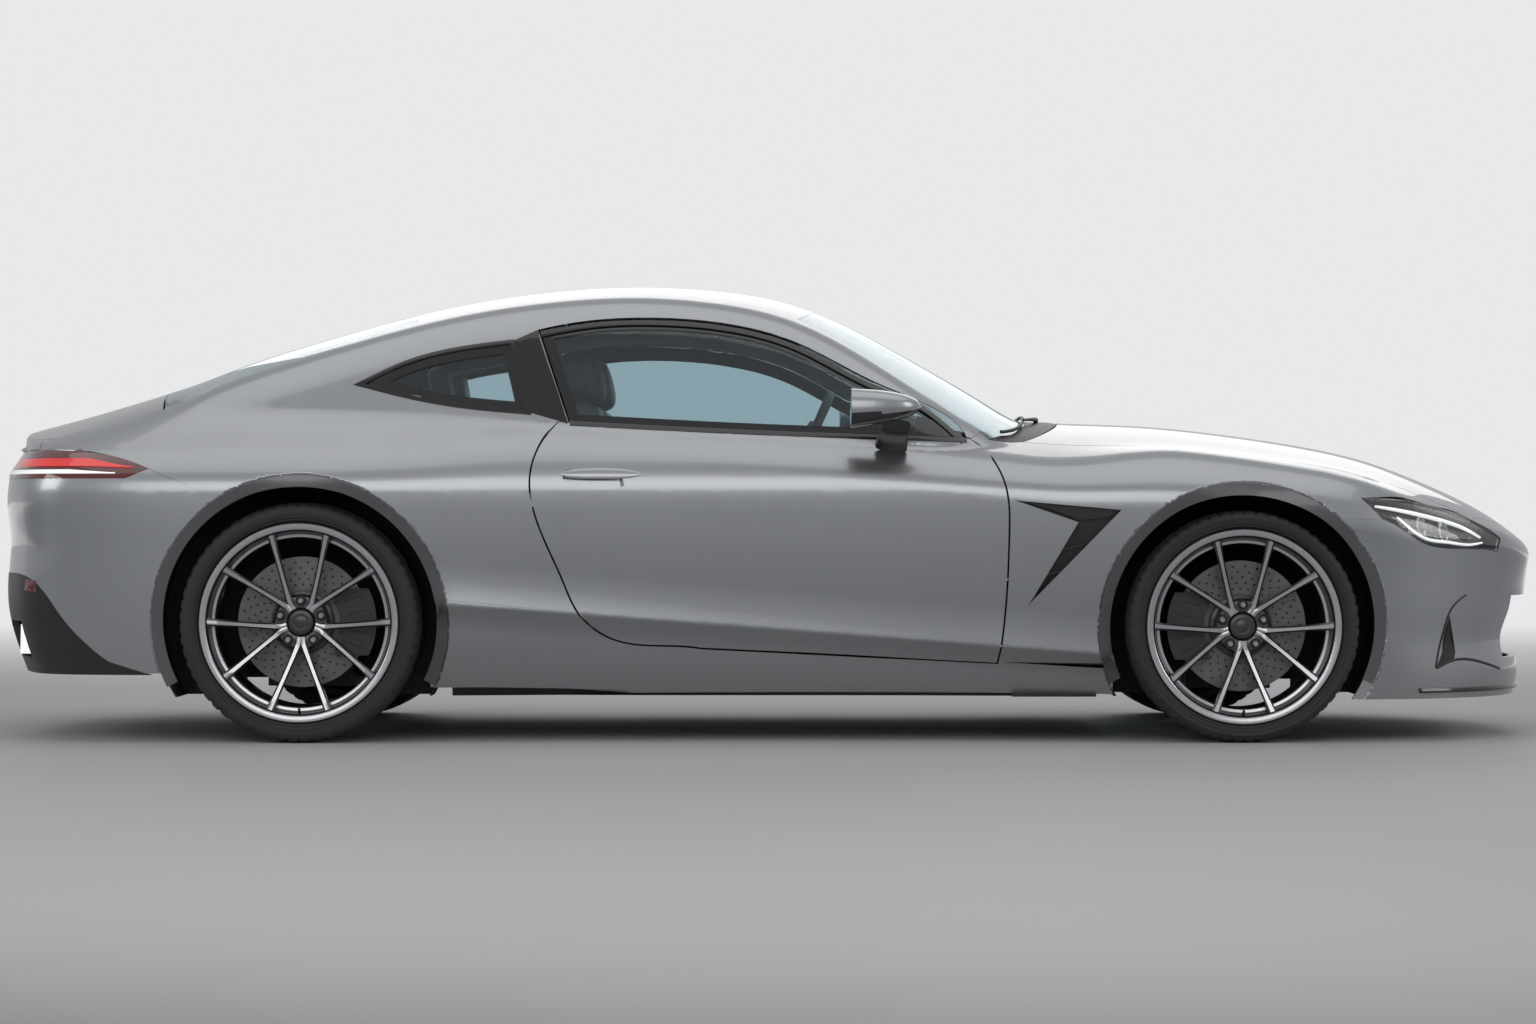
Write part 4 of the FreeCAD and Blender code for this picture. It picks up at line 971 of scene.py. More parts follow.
def tyre(end, side):
    """Tyre with a rim guard, fine sidewall rings, four grooves and notched shoulders."""
    seat, radius, width = SEAT[end], WHEEL[end][1], TREAD[end]
    half = [(seat + 0.4, 22), (seat + 18.6, 21), (seat + 23, 12), (seat + 27, 7), (seat + 30, 8), (seat + 34, 4),
            (seat + 38, 4), (seat + 38.8, 3), (seat + 40, 3), (seat + 40.8, 4), (seat + 50, 2.5),
            (radius - 20, 5), (radius - 12, 9), (radius - 6, 16), (radius - 3, 23), (radius - 1.5, 34)]
    grooves = []
    for share in (0.26, 0.42):
        at = width * share
        grooves += [(radius - 0.8, at - 5), (radius - 7.5, at - 4), (radius - 7.5, at + 4),
                    (radius - 0.2, at + 5)]
    side_half = half + grooves
    profile = side_half + [(r, width - h) for r, h in reversed(side_half)]
    hand = SIDES[side]
    x, z = WHEEL[end]
    centre = (x, hand * (TRACK[end] - width / 2), z)
    piece = lathe("tyre_%s_%s_tread" % (end, side), profile, centre, hand, TYRE_SEGMENTS,
                  "wheel_%s_%s" % (end, side), TYRE, "tyre_rubber")
    co = vertex_array(piece.data) / MM
    across = np.abs(np.abs(co[:, 1]) - TRACK[end])
    out = co[:, [0, 2]] - [x, z]
    r = np.hypot(*out.T)
    turn = np.round(np.arctan2(out[:, 1], out[:, 0]) / (2 * math.pi) * TYRE_SEGMENTS).astype(int)
    notch = (turn % 4 == 0) & (across > width * 0.27) & (r > radius - 9)
    notch |= (turn % 8 == 2) & (across < width * 0.2) & (r > radius - 2)
    drop = np.where(notch, np.where(across > width * 0.27, 5.0, 3.0), 0)
    co[:, [0, 2]] -= out / r[:, None] * drop[:, None]
    piece.data.vertices.foreach_set("co", (co * MM).ravel())
    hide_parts("tyre_%s_%s" % (end, side))


def rim(end, side):
    """Cast wheel: stepped barrel, ten spokes in five pairs, hub, cap, nuts with thin black rings under them as painted
    shade of their pockets, and valve.
    """
    seat, width = SEAT[end], TREAD[end]
    mount = width / 2 + HUB_OFFSET
    hand, (x, z) = SIDES[side], WHEEL[end]
    body, name = "wheel_%s_%s" % (end, side), "%s_%s" % (end, side)
    base = hand * (TRACK[end] - width / 2)
    centre = (x, base, z)
    barrel = [(seat + 17.6, width - 21), (seat + 17.6, width - 13), (seat + 15.5, width - 11), (seat + 2, width - 11),
              (seat - 2, width - 13.5), (seat - 6, width - 21), (seat - 9, width - 32), (seat - 11, width - 56),
              (seat - 16, width - 59), (seat - 24, width - 60), (seat - 27, width - 65), (seat - 29, 70),
              (seat - 24, 40), (seat - 8, 15), (seat + 15.5, 12), (seat + 17.6, 14), (seat + 17.6, 20),
              (seat + 0.3, 21.5), (seat + 0.3, width - 21.5)]
    bright = [1 if j in (1, 2, 3, 8) else 0 for j in range(len(barrel))]
    piece = lathe("rim_%s_barrel" % name, barrel, centre, hand, 120, body, (ALLOY_DARK, ALLOY_BRIGHT), "wheel_alloy",
                  bands=bright)
    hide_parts("rim_" + name)
    hub_top = mount + 34
    hub = [(30, mount), (30, mount + 22), (39, mount + 26), (44, hub_top - 3), (50, hub_top - 1), (76, hub_top - 4),
           (84, mount + 22), (84, mount)]
    lathe("rim_%s_hub" % name, hub, centre, hand, 60, body, ALLOY_DARK, "wheel_alloy")
    cap = [(0.3, mount + 24), (0.3, hub_top + 4.5), (18, hub_top + 4.2), (19.5, hub_top + 3.4), (21, hub_top + 4),
           (33, hub_top + 2.6), (36.5, hub_top + 0.5), (37.5, hub_top - 4), (37.5, mount + 24)]
    lathe("rim_%s_cap" % name, cap, centre, hand, 60, body, CALIPER, "wheel_alloy")
    inner_r, outer_r = 44.0, seat - 7.0
    rows = np.linspace(0, 1, 15)
    for pair in range(5):
        middle = math.radians(36 + 72 * pair)
        for lean in (-1, 1):
            rings = []
            for t in rows:
                r = inner_r + (outer_r - inner_r) * t
                straight = 5 + (outer_r * math.sin(math.radians(SPREAD)) - 5) * max(t - 0.06, 0) ** 1.03 / 0.94
                angle = middle + lean * math.asin(straight / r)
                half = 8.2 + 5.5 * (1 - t) ** 4 + 4.2 * t ** 3
                top = hub_top + 1 + (width - 17 - hub_top) * t ** 1.35
                deep = 33 - 9 * t
                spoke = [(-0.5, 0), (0.5, 0), (1.0, -5), (0.85, -deep), (-0.85, -deep), (-1.0, -5)]
                away = np.array([math.sin(angle), 0, math.cos(angle)])
                side_way = np.array([math.cos(angle), 0, -math.sin(angle)])
                middle_point = np.array([x, base, z]) + away * r
                rings.append([middle_point + side_way * (u * half) + np.array([0, hand * (top + h), 0])
                              for u, h in spoke])
            index = [1 if j == 0 else 0 for _ in rows[1:] for j in range(6)] + [0, 0]
            loft("rim_%s_spoke_%d%s" % (name, pair, "a" if lean < 0 else "b"), rings, body,
                 (ALLOY_DARK, ALLOY_BRIGHT), "wheel_alloy", index=index)
    spin = (math.radians(-90 * hand), 0, 0)
    centre_m = Vector((x, base + hand * (hub_top + 2), z)) * MM
    repeated("rim_%s_nuts" % name, STUDS, body, "wheel_alloy", count=5, rows=1, radius=0.064, stud_radius=0.0105,
             stud_height=0.014, sides=6, taper=0.72, centre=tuple(centre_m), tilt=spin, finish=CHROME)
    # Thin gloss black rings under the nuts: painted shade of the pockets round them
    repeated("rim_%s_nut_seats" % name, STUDS, body, "wheel_alloy", count=5, rows=1, radius=0.064,
             stud_radius=0.0165, stud_height=0.002, sides=20, taper=0.96,
             centre=tuple(centre_m - Vector((0, hand * 0.0045, 0))), tilt=spin, finish=GLOSS_BLACK)
    # The drilled holes are flat gloss black discs on the disc's face: painted shade in the holes
    face = base + hand * (mount - 30 + 0.4)
    repeated("disc_%s_holes" % name, STUDS, body, "disc_iron", count=150, rows=5, radius=0.112, row_step=0.0165,
             row_twist=0.085, stud_radius=0.0034, stud_height=0.0012, sides=10, taper=1.0,
             centre=tuple(Vector((x, face, z)) * MM), tilt=spin, finish=GLOSS_BLACK)
    hat = [(62, mount - 31), (62, mount + 1), (74, mount + 1), (92, mount - 6), (96, mount - 30.5), (96, mount - 31)]
    lathe("disc_%s_hat" % name, hat, centre, hand, 60, body, CALIPER, "disc_iron")
    valve = [(x, base + hand * (width - 44), z - seat + 12), (x, base + hand * (width - 30), z - seat + 22)]
    tube("rim_%s_valve" % name, valve, 4.2, body, RUBBER, "wheel_alloy")


def caliper(end, side):
    """Ribbed body over the disc, behind the front axle and ahead of the rear one."""
    hand, (x, z) = SIDES[side], WHEEL[end]
    facing = math.pi if end == "front" else 0.0
    face = TRACK[end] + HUB_OFFSET - 30
    rings = []
    for turn in np.linspace(-0.5, 0.5, 15):
        swell = 1 - 0.1 * abs(turn / 0.5) ** 3
        low, high = 122, 122 + 98 * swell
        ring = []
        for r, out in ((low, 3), (low + 8, 17), (low + 40, 21), (high - 24, 19), (high - 6, 10), (high, -8),
                       (high - 4, -22), (low + 30, -22), (low, -6)):
            away = np.array([math.cos(facing + turn), 0, math.sin(facing + turn)])
            ring.append(np.array([x, hand * (face + out * (0.85 + 0.15 * swell)), z]) + away * r)
        rings.append(ring)
    body = ("steer_" + side) if end == "front" else "root"
    loft("caliper_%s_%s_body" % (end, side), rings, body, CALIPER, "caliper_metal")
    for turn in (-0.3, 0.3):
        rings = []
        for r in (136, 150, 170, 190):
            away = np.array([math.cos(facing + turn), 0, math.sin(facing + turn)])
            across = np.array([-math.sin(facing + turn), 0, math.cos(facing + turn)])
            rings.append([np.array([x, 0, z]) + away * r + across * a + np.array([0, hand * (face + out), 0])
                          for a, out in ((-26, 16), (-20, 24), (20, 24), (26, 16))])
        loft("caliper_%s_%s_piston_%s" % (end, side, "low" if turn < 0 else "high"), rings, body, CALIPER,
             "caliper_metal")


for end in ENDS:
    for side in SIDES:
        tyre(end, side)
        rim(end, side)
        caliper(end, side)


# Glass surrounds, pillars and mouldings

def strip(name, path, steps, thick, body, finish, slot, hand):
    """Open moulding along a path of the side view, between its offsets to the left of the way."""
    along = unit(np.gradient(path, axis=0))
    left = np.stack([-along[:, 1], along[:, 0]], -1)
    rows = [on_side(path + left * off, lift) for off, lift in steps]
    rows += [on_side(path + left * off, lift - thick) for off, lift in reversed(steps)]
    return loft(name, mirrored(np.stack(rows, 1), hand), body, finish, slot)


BELT_LINE = run_points([(585, 899), (237, 911), (-243, 931), (-604, 950)], 20)
GLASS_ARCH = run_points(DOOR_GLASS[0], 14)
for side, hand in SIDES.items():
    door_body = "door_" + side
    band("door_glass_border_" + side, traced(DOOR_GLASS), [(-30, -4.6), (-15, -4.5), (-1, -4.4)], 0.6, door_body,
         *BLACK, hand)
    band("quarter_glass_border_" + side, traced(QUARTER_GLASS), [(-26, -4.6), (-12, -4.5), (-1, -4.4)], 0.6, "root",
         *BLACK, hand)
    band("quarter_surround_" + side, traced(QUARTER_GLASS), [(-1, -3), (-0.5, 1.2), (6, 1.8), (13, 0.6)], 1.0, "root",
         *BLACK, hand)
    strip("window_arch_" + side, GLASS_ARCH, [(7, -3), (7, 1.0), (12, 1.8), (19, 0.5)], 1.0, "root",
          *BLACK, hand)
    strip("belt_moulding_" + side, BELT_LINE, [(-7, 0.5), (-1, 2.2), (7, 2.0), (8, -4)], 1.2, door_body, *BLACK, hand)
    pillar = np.array([(-707, 1236), (-793, 1196), (-739, 986), (-610, 949)], float)
    patch("pillar_cover_" + side, pillar, 1.0, 0.8, "root", *BLACK, hand)


# Fender vents and door handles

def vent(side):
    """Black housing in the fender's opening, with a blade under its top edge."""
    hand = SIDES[side]
    outline = traced(VENT, 14)
    band("vent_wall_" + side, outline, [(-1.2, -0.8), (-3.2, -0.8)], 20, "root", *BLACK, hand)
    patch("vent_floor_" + side, grown(outline, -1.5), -20, 2, "root", *SATIN, hand)
    blade = traced([[(736, 716), (1024, 690)], [(1000, 668)], [(912, 660)], [(820, 694)], [(736, 716)]], 16)
    patch("vent_blade_" + side, blade, -7, 4, "root", *SATIN, hand)
    for share in (0.32, 0.62):
        x = 906 + (759 - 906) * share
        z = 653 + (403 - 653) * share
        slat = np.array([(x - 4, z), (x + 74, z + 18), (x + 74, z + 12), (x - 4, z - 6)], float)
        patch("vent_slat_%s_%d" % (side, round(share * 100)), slat, -12, 6, "root", *BLACK, hand)


def handle(side):
    """Bar across the lens-shaped recess of the door."""
    hand = SIDES[side]
    x, z, half = HANDLE[:3]
    rings = []
    for t in np.linspace(-1, 1, 25):
        wide = 15.5 * max(1 - abs(t) ** 2.6, 0.02) ** 0.5 + 1
        rise = 3.5 * (1 - t * t)
        centre = np.array([x + t * (half - 1), z + 5 + 2 * (1 - t * t)])
        rings.append([on_side(centre + [0, wide * math.sin(turn)], rise - 3.5 + 4.5 * math.cos(turn))
                      for turn in circle(14)])
    loft("door_handle_" + side, mirrored(np.array(rings), hand), "door_" + side, PAINT, "body_paint")
    patch("handle_cup_" + side, recess(48, 4), -11, 1.5, "door_" + side, PAINT, "body_paint", hand)


# Mirrors

def mirror(side):
    """Cap with a black lower shell, the glass behind, and a raked foot."""
    hand = SIDES[side]
    body = "door_" + side
    rings = []
    for t in np.linspace(0, 1, 22):
        x = 234 + 208 * t
        close = max(1 - t ** 3.2, 0.0006) ** 0.5
        wide, up, down = 94 * close, 60 * close * (1 - 0.25 * t), 58 * close * (1 - 0.35 * t)
        mid_z, mid_y = 989 + 6 * t, 968 - 20 * t
        rings.append([(x, hand * (mid_y + wide * c), mid_z + (up if s > 0 else down) * s)
                      for c, s in squared(40, 0.7, 0.75)])
    index = []
    for i in range(21):
        t = (i + 0.5) / 21
        for j in range(40):
            turn = (j + 0.5) / 40 * 2 * math.pi
            index.append(1 if math.sin(turn) < -0.1 - 0.3 * t else 0)
    cap = loft("mirror_cap_" + side, rings, body, (PAINT, GLOSS_BLACK), "body_paint", index=index + [1, 0])
    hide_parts("mirror_" + side)
    rings = []
    for share, grow in ((-0.4, 0.86), (0, 0.88)):
        rings.append([(233.6 + share, hand * (968 + c * 94 * grow), 989 + s * 58 * grow)
                      for c, s in squared(40, 0.7, 0.75)])
    loft("mirror_glass_" + side, rings, body, REFLECTOR, "tinted_glass")
    rings = []
    for t in np.linspace(0, 1, 8):
        x = 372 - 16 * t ** 0.7
        y = 948 - 92 * t
        z = 946 - 66 * t ** 0.8
        ring = []
        for c, s in squared(24, 0.6, 0.6):
            c, s = c * (38 + 10 * t), s * (13 + 6 * t)
            ring.append((x + c, hand * (y + s * 0.55), z + s * 0.85 + c * -0.12))
        rings.append(ring)
    loft("mirror_foot_" + side, rings, body, *BLACK)


# Lamps

def headlamp(side):
    """Clear lens over a dark housing with two light guides and two projectors."""
    hand = SIDES[side]
    outline = grown(traced(HEADLAMP, 14), -1.5)
    lens = patch("headlamp_lens_" + side, outline, -0.5, 3, "root", LENS, "clear_lamp", hand)
    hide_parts("headlamps")
    band("headlamp_rim_" + side, outline, [(0, -3.6), (-7, -3.6)], 40, "root", *BLACK, hand)
    patch("headlamp_back_" + side, outline, -42, 2, "root", *BLACK, hand)
    upper = [(1797, 708), (1879, 696), (1998, 672), (2088, 643), (2143, 611)]
    lower = [(1866, 676), (1905, 640), (1956, 606), (2030, 594), (2109, 585), (2152, 592)]
    for name, path, lift, radius in (("upper", upper, -15, 6.5), ("lower", lower, -17, 5)):
        points = mirrored(on_side(run_points(path, 12), lift), hand)
        grow = radius * (0.35 + 0.65 * np.sin(np.linspace(0.12, 3.0, len(points))) ** 0.5)
        tube("headlamp_guide_%s_%s" % (name, side), points, grow, "root", LIGHT_STRIP, "clear_lamp")
    for number, (x, z, radius) in enumerate(((1948, 651, 22), (2022, 634, 24))):
        centre = on_side((x, z), -26)
        way = unit(slope(centre) * [1, 1, 0.4] + [0.5, 0, 0])
        across = unit(np.cross(way, [0, 0, 1]))
        over = np.cross(across, way)
        for kind, steps, coat, slot in (
                ("bezel", ((radius + 3, -10), (radius + 6, 3), (radius + 3, 6), (radius, 3), (radius, -10)), CHROME,
                 "bright_steel"),
                ("lens", ((0.4, -8), (radius - 0.5, -8), (radius - 0.5, 2), (radius * 0.75, 9), (radius * 0.4, 12),
                          (0.4, 13)), LENS, "clear_lamp")):
            rings = []
            for turn in circle(32):
                out = across * math.cos(turn) + over * math.sin(turn)
                rings.append([(centre + out * r + way * h) * [1, -hand, 1] for r, h in steps])
            loft("headlamp_%s_%d_%s" % (kind, number, side), rings, "root", coat, slot, joined=True)
    shelf = traced([[(1846, 690), (2150, 628)], [(2160, 604)], [(2060, 616), (1900, 664)], [(1846, 690)]], 16)
    patch("headlamp_shelf_" + side, shelf, -30, 5, "root", CALIPER, "dark_trim", hand)


painted("tail_lamps", "root", form=skin, coat=RED_DEEP, depth=18)
for side in SIDES:
    vent(side)
    handle(side)
    mirror(side)
    headlamp(side)


# Tail lamp strips, arch lips, splitter and reflectors, laid round the corners of the skin

def fan(base, turns, low, high, lift, depth):
    """Sections of a strip on the skin, met by rays from a base point, between two heights per turn."""
    sections = []
    for turn, bottom, top in zip(turns, low, high):
        way = np.array([math.cos(turn), math.sin(turn), 0])
        ring = []
        for z, off in ((bottom, lift), (top, lift), (top, lift - depth), (bottom, lift - depth)):
            hit = reach(np.array([base[0], base[1], z], float), way)
            ring.append(hit + unit(slope(hit)) * off)
        sections.append(ring)
    return np.array(sections)


# Arch lips: the body's silver paint made darker, as painted shade of the lip facet that faces down and in
LIP_SHADE_PAINT = finish("dark arch lip", (0.13, 0.132, 0.137), 0.38, 0.7, patch_depth=0.03, coat_weight=0.6)
TAIL_TURNS = np.radians(np.linspace(-92, -168, 40))
TAPER = np.clip((np.arange(40) - 1) / 9, 0, 1)
for side, hand in SIDES.items():
    glow = fan((-1880, -480), TAIL_TURNS, 815 + 5 * TAPER, 819 + 24 * TAPER, 2.0, 3)
    loft("tail_glow_" + side, mirrored(glow, hand), "root", RED_GLOW, "red_lamp")
    clear = fan((-1930, -480), TAIL_TURNS, np.full(40, 798.0), 801 + 9 * TAPER, 2.0, 3)
    loft("tail_clear_" + side, mirrored(clear, hand), "root", LIGHT_STRIP, "clear_lamp")
    patch("rear_reflector_" + side, [(-2236, 448), (-2190, 446), (-2196, 480), (-2232, 484)], 1.5, 3, "root",
          RED_DEEP, "red_lamp", hand)
    for end, (x, z) in WHEEL.items():
        turns = np.radians(np.linspace(-28, 208, 119))
        away = np.stack([np.cos(turns), np.sin(turns)], -1)
        arch = ARCH[end]
        away = away[(z + away[:, 1] * (arch + 20) > 168)]
        rows = []
        for r, off in ((arch + 34.5, 0.9), (arch + 33, 2.2), (arch + 18, 2.4), (arch + 1, 2.2),
                       (arch + 1, -0.8), (arch + 33, -0.8)):
            inset = LIP_STEP + LIP_TILT * (arch + LIP_WIDTH - r)
            rows.append(on_side(np.array([x, z]) + away * r, off - inset))
        # Strip over each arch's lip facet, in the paint that carries its painted shade
        loft("arch_lip_%s_%s" % (end, side), mirrored(np.stack(rows, 1), hand), "root", LIP_SHADE_PAINT, "dark_trim")
    # Flat satin black patch laid on the skin over the scoop's opening: painted shade of the opening
    opening = [(2030, 372), (2052, 262), (2046, 238), (1986, 216), (2008, 262)]
    patch("nose_scoop_" + side, opening, 1.2, 3, "root", *SATIN, hand)
    hook = run_points([(2086, 436), (2040, 400), (2012, 330), (1994, 262), (1986, 218)], 12)
    strip("scoop_edge_" + side, hook, [(-3, 0.5), (0, 2.2), (3, 0.5)], 3, "root", *SATIN, hand)
    ledge = run_points([(1990, 217), (2050, 240), (2140, 232), (2215, 208)], 12)
    strip("splitter_edge_" + side, ledge, [(-4, 0.5), (0, 2.4), (4, 0.5)], 3, "root", *SATIN, hand)
    sail = [(583, 905), (428, 911), (436, 975), (500, 958)]
    patch("mirror_sail_" + side, sail, -3.2, 1.2, "door_" + side, *BLACK, hand)
    strip("roof_rail_trim_" + side, GLASS_ARCH, [(-3, -63), (20, -64), (52, -66)], 4, "root", CABIN_TRIM, "cabin_trim",
          hand)
    rest_pad = traced([[(-420, 742), (-40, 752)], [(240, 720)], [(190, 694), (-380, 690)], [(-420, 742)]], 24)
    patch("door_armrest_" + side, rest_pad, -63, 34, "door_" + side, LEATHER, "cabin_trim", hand, spacing=40)
    pocket = traced([[(-440, 420), (380, 430)], [(360, 320)], [(-400, 320)], [(-440, 420)]], 30)
    patch("door_pocket_" + side, pocket, -63, 22, "door_" + side, CABIN_TRIM, "cabin_trim", hand, spacing=60)

LIP_TURNS = np.radians(np.linspace(-62, 62, 63))
lip = []
for turn in LIP_TURNS:
    hit = reach(np.array([1500.0, 0, 160.0]), np.array([math.cos(turn), math.sin(turn), 0]))
    out = slope(hit) * [1, 1, 0]
    out = out / np.hypot(*out[:2])
    lip.append([hit + out * off + np.array([0, 0, z - 160.0]) for off, z in
                ((-6, 160), (7, 155), (9, 149), (5, 143), (-40, 141), (-40, 152))])
loft("front_lip", np.array(lip), "root", *BLACK)
repeated("grille_mesh", COMB, "root", "dark_trim", columns=36, rows=8, pitch=0.026, bar=0.0022,
         corner=(2.186, -0.461, 0.25), finish=GLOSS_BLACK)

core = [[(x, y, z) for x, z in ((2128, 232), (2156, 232), (2156, 436), (2128, 436))] for y in (-500, 0, 500)]
loft("radiator_core", np.array(core, float), "root", LINER, "liner_plastic")

# Wipers
for name, blade, arm in (
        ("right", [(690, -640), (742, -520), (778, -330), (792, -60)], [(838, -60), (822, -200), (780, -330)]),
        ("left", [(792, 30), (786, 230), (757, 450), (716, 590)], [(834, 330), (812, 350), (773, 380)])):
    tube("wiper_blade_" + name, on_top(run_points(blade, 20), 12), 5.5, "root", *SATIN)
    flat = run_points(arm, 14)
    points = on_top(flat, 6 + 12 * np.linspace(0, 1, len(flat)))
    tube("wiper_arm_" + name, points, np.linspace(9, 4, len(points)), "root", *SATIN)

# Cabin: console and selector
sections = []
for x, z, wide in ((-420, 452, 82), (-400, 470, 92), (-150, 480, 92), (60, 470, 90), (250, 520, 88), (330, 600, 86)):
    sections.append([(x, wide * c, 380 + (z - 380) * s if s > 0 else 380 + 84 * s)
                     for c, s in squared(28, 0.45, 0.45)])
loft("console", np.array(sections), "root", CABIN_TRIM, "cabin_trim")
tube("selector", [(-40, 0, 470), (-46, 0, 500), (-50, 0, 530), (-52, 0, 548)], np.array([9, 10, 19, 12]), "root",
     LEATHER, "cabin_trim", sides=20)


# Seats

CLOTH_FRAMES, VOXEL, MOST_FILL = 16, 0.013, 0.01


def pad(name, wide, long, thick, spot, lean, channels, groove=5.0, squareness=5.0):
    """Crowned cushion on the right side and its mirror image on the left; cloth fills it out."""
    bm = bmesh.new()
    bmesh.ops.create_cube(bm, size=2)
    bmesh.ops.subdivide_edges(bm, edges=bm.edges[:], cuts=11, use_grid_fill=True)
    co = np.array([v.co[:] for v in bm.verts])
    faces = [[v.index for v in f.verts] for f in bm.faces]
    bm.free()
    size = (np.abs(co) ** squareness).sum(1) ** (1 / squareness)
    co = co / size[:, None] * (np.array([long, wide, thick]) / 2 - 7)
    mesh = bpy.data.meshes.new(name)
    mesh.from_pydata((co * MM).tolist(), [], faces)
    piece = into_scene(name, mesh)
    remesh = piece.modifiers.new("even", "REMESH")
    remesh.mode, remesh.voxel_size = "VOXEL", VOXEL
    even = evaluated(piece)
    piece.modifiers.clear()
    piece.data = even
    start = vertex_array(even)
    end = start
    cloth = piece.modifiers.new("cloth", "CLOTH")
    cloth.settings.use_pressure = True
    cloth.settings.uniform_pressure_force = 4
    cloth.settings.quality = 5
    cloth.settings.effector_weights.gravity = 0
    scene = bpy.context.scene
    for frame_number in range(1, CLOTH_FRAMES + 1):
        scene.frame_set(frame_number)
    end = vertex_array(piece.evaluated_get(bpy.context.evaluated_depsgraph_get()).to_mesh())
    piece.modifiers.clear()
    scene.frame_set(1)
    move = end - start
    far = np.linalg.norm(move, axis=1, keepdims=True)
    co = (start + move * np.minimum(1, MOST_FILL / np.maximum(far, 1e-9))) / MM
    upper = co[:, 2] > 0
    for axis, at in channels:
        near = np.exp(-((co[:, axis] - at) / 4.5) ** 2)
        co[:, 2] -= np.where(upper, near * groove, 0)
    turn = math.radians(lean)
    x = co[:, 0] * math.cos(turn) - co[:, 2] * math.sin(turn)
    z = co[:, 0] * math.sin(turn) + co[:, 2] * math.cos(turn)
    placed = np.stack([x, co[:, 1], z], -1) + np.array(spot, float)
    faces = [list(p.vertices) for p in even.polygons]
    bpy.data.objects.remove(piece)
    for side, hand in SIDES.items():
        cover = make("%s_%s" % (name, side), placed * [1, -hand, 1], faces, "root", LEATHER)
        soft = cover.modifiers.new("soft", "SUBSURF")
        soft.levels = soft.render_levels = 1


pad("front_cushion", 520, 535, 130, (-155, -375, 366), 3, [(1, -150), (1, 150), (0, -120), (0, -20), (0, 80)])
pad("front_back", 520, 600, 120, (-478, -375, 690), 104, [(1, -140), (1, 140), (0, -110), (0, 10), (0, 130)])
pad("front_headrest", 250, 190, 105, (-565, -375, 1098), 104, [(1, -70), (1, 70)], 3, 3.2)
pad("rear_cushion", 440, 350, 125, (-735, -330, 366), 4, [(1, -110), (1, 110), (0, 0)])
pad("rear_back", 440, 560, 88, (-935, -330, 690), 100, [(1, -110), (1, 110), (0, -60), (0, 90)])


# Stage, light and camera

SHOWN = (0.8, 0.81, 0.82, 1)
FOCAL_PIXELS, IMAGE_WIDTH, SENSOR = 4077, 1536, 36


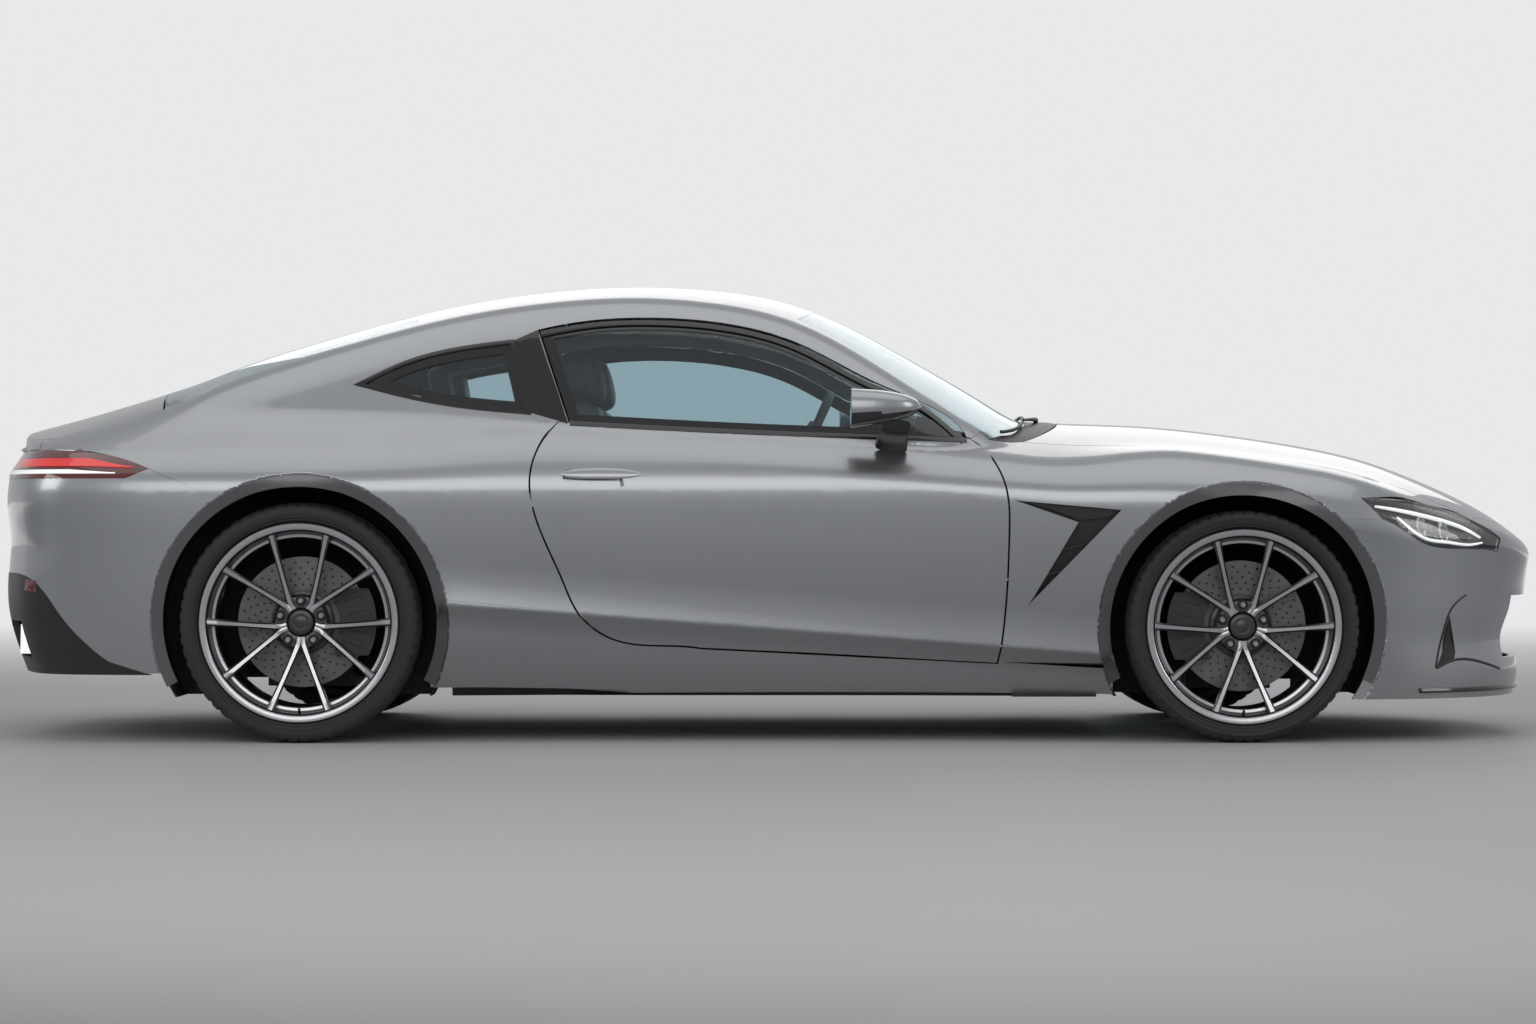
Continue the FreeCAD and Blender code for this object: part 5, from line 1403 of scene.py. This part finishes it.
def stage():
    """Pale floor and background, soft boxes, and the camera at the photograph's place."""
    scene = bpy.context.scene
    scene.view_settings.view_transform = "Standard"
    bpy.ops.mesh.primitive_plane_add(size=160, location=(0, 40, 0))
    floor = bpy.context.object
    floor.name = "floor"
    ground, tree, shader = new_material("pale floor")
    link = tree.links.new
    shader.inputs["Base Color"].default_value = (0.5, 0.505, 0.51, 1)
    shader.inputs["Roughness"].default_value = 0.6
    place = node_of(tree, "ShaderNodeTexCoord")
    apart = node_of(tree, "ShaderNodeSeparateXYZ")
    link(place.outputs["Object"], apart.inputs[0])
    far = node_of(tree, "ShaderNodeMapRange", {"From Min": -38.6, "From Max": -27.0},
                  interpolation_type="SMOOTHSTEP")
    link(apart.outputs["Y"], far.inputs["Value"])
    paler = node_of(tree, "ShaderNodeEmission", {"Color": SHOWN, "Strength": 1.0})
    fade = node_of(tree, "ShaderNodeMixShader")
    link(far.outputs[0], fade.inputs["Fac"])
    link(shader.outputs[0], fade.inputs[1])
    link(paler.outputs[0], fade.inputs[2])
    link(fade.outputs[0], tree.nodes["Material Output"].inputs["Surface"])
    floor.data.materials.append(ground)
    world = bpy.data.worlds.new("studio")
    scene.world = world
    world.use_nodes = True
    tree = world.node_tree
    shown = node_of(tree, "ShaderNodeBackground", {"Color": SHOWN, "Strength": 1.0})
    fill = tree.nodes["Background"]
    fill.inputs["Color"].default_value = (0.8, 0.83, 0.87, 1)
    fill.inputs["Strength"].default_value = 0.3
    rays = node_of(tree, "ShaderNodeLightPath")
    either = node_of(tree, "ShaderNodeMath", operation="MAXIMUM")
    seen = node_of(tree, "ShaderNodeMath", operation="MAXIMUM")
    soft = node_of(tree, "ShaderNodeMath", {1: 0.35}, operation="MULTIPLY")
    mix = node_of(tree, "ShaderNodeMixShader")
    link = tree.links.new
    link(rays.outputs["Is Camera Ray"], either.inputs[0])
    link(rays.outputs["Is Transmission Ray"], either.inputs[1])
    link(rays.outputs["Is Glossy Ray"], soft.inputs[0])
    link(either.outputs[0], seen.inputs[0])
    link(soft.outputs[0], seen.inputs[1])
    link(seen.outputs[0], mix.inputs["Fac"])
    link(fill.outputs[0], mix.inputs[1])
    link(shown.outputs[0], mix.inputs[2])
    link(mix.outputs[0], tree.nodes["World Output"].inputs["Surface"])
    for name, at, aim, wide, tall, power in (("overhead", (0, -0.6, 4.6), (0, 0, 0.5), 7.5, 4.2, 62),
                                             ("near side", (-1.0, -7.0, 3.2), (0, 0, 0.6), 7.5, 3.4, 120),
                                             ("far side", (0.5, 6.5, 3.6), (0, 0, 0.8), 7.0, 3.4, 70),
                                             ("nose", (6.5, -2.5, 2.6), (1.5, 0, 0.6), 2.5, 2.5, 50),
                                             ("tail", (-6.5, -2.0, 2.8), (-1.5, 0, 0.7), 2.5, 2.5, 46)):
        lamp = bpy.data.lights.new(name, "AREA")
        lamp.shape, lamp.size, lamp.size_y, lamp.energy = "RECTANGLE", wide, tall, power
        light = into_scene(name, lamp)
        light.location = at
        light.rotation_euler = (Vector(aim) - Vector(at)).to_track_quat("-Z", "Y").to_euler()
    lens = bpy.data.cameras.new("camera")
    lens.lens = FOCAL_PIXELS / IMAGE_WIDTH * SENSOR
    lens.sensor_width = SENSOR
    lens.clip_end = 300
    camera = into_scene("camera", lens)
    camera.location = (-0.011, -13.0, 0.684)
    camera.rotation_euler = (math.radians(90), 0, 0)
    scene.camera = camera


stage()
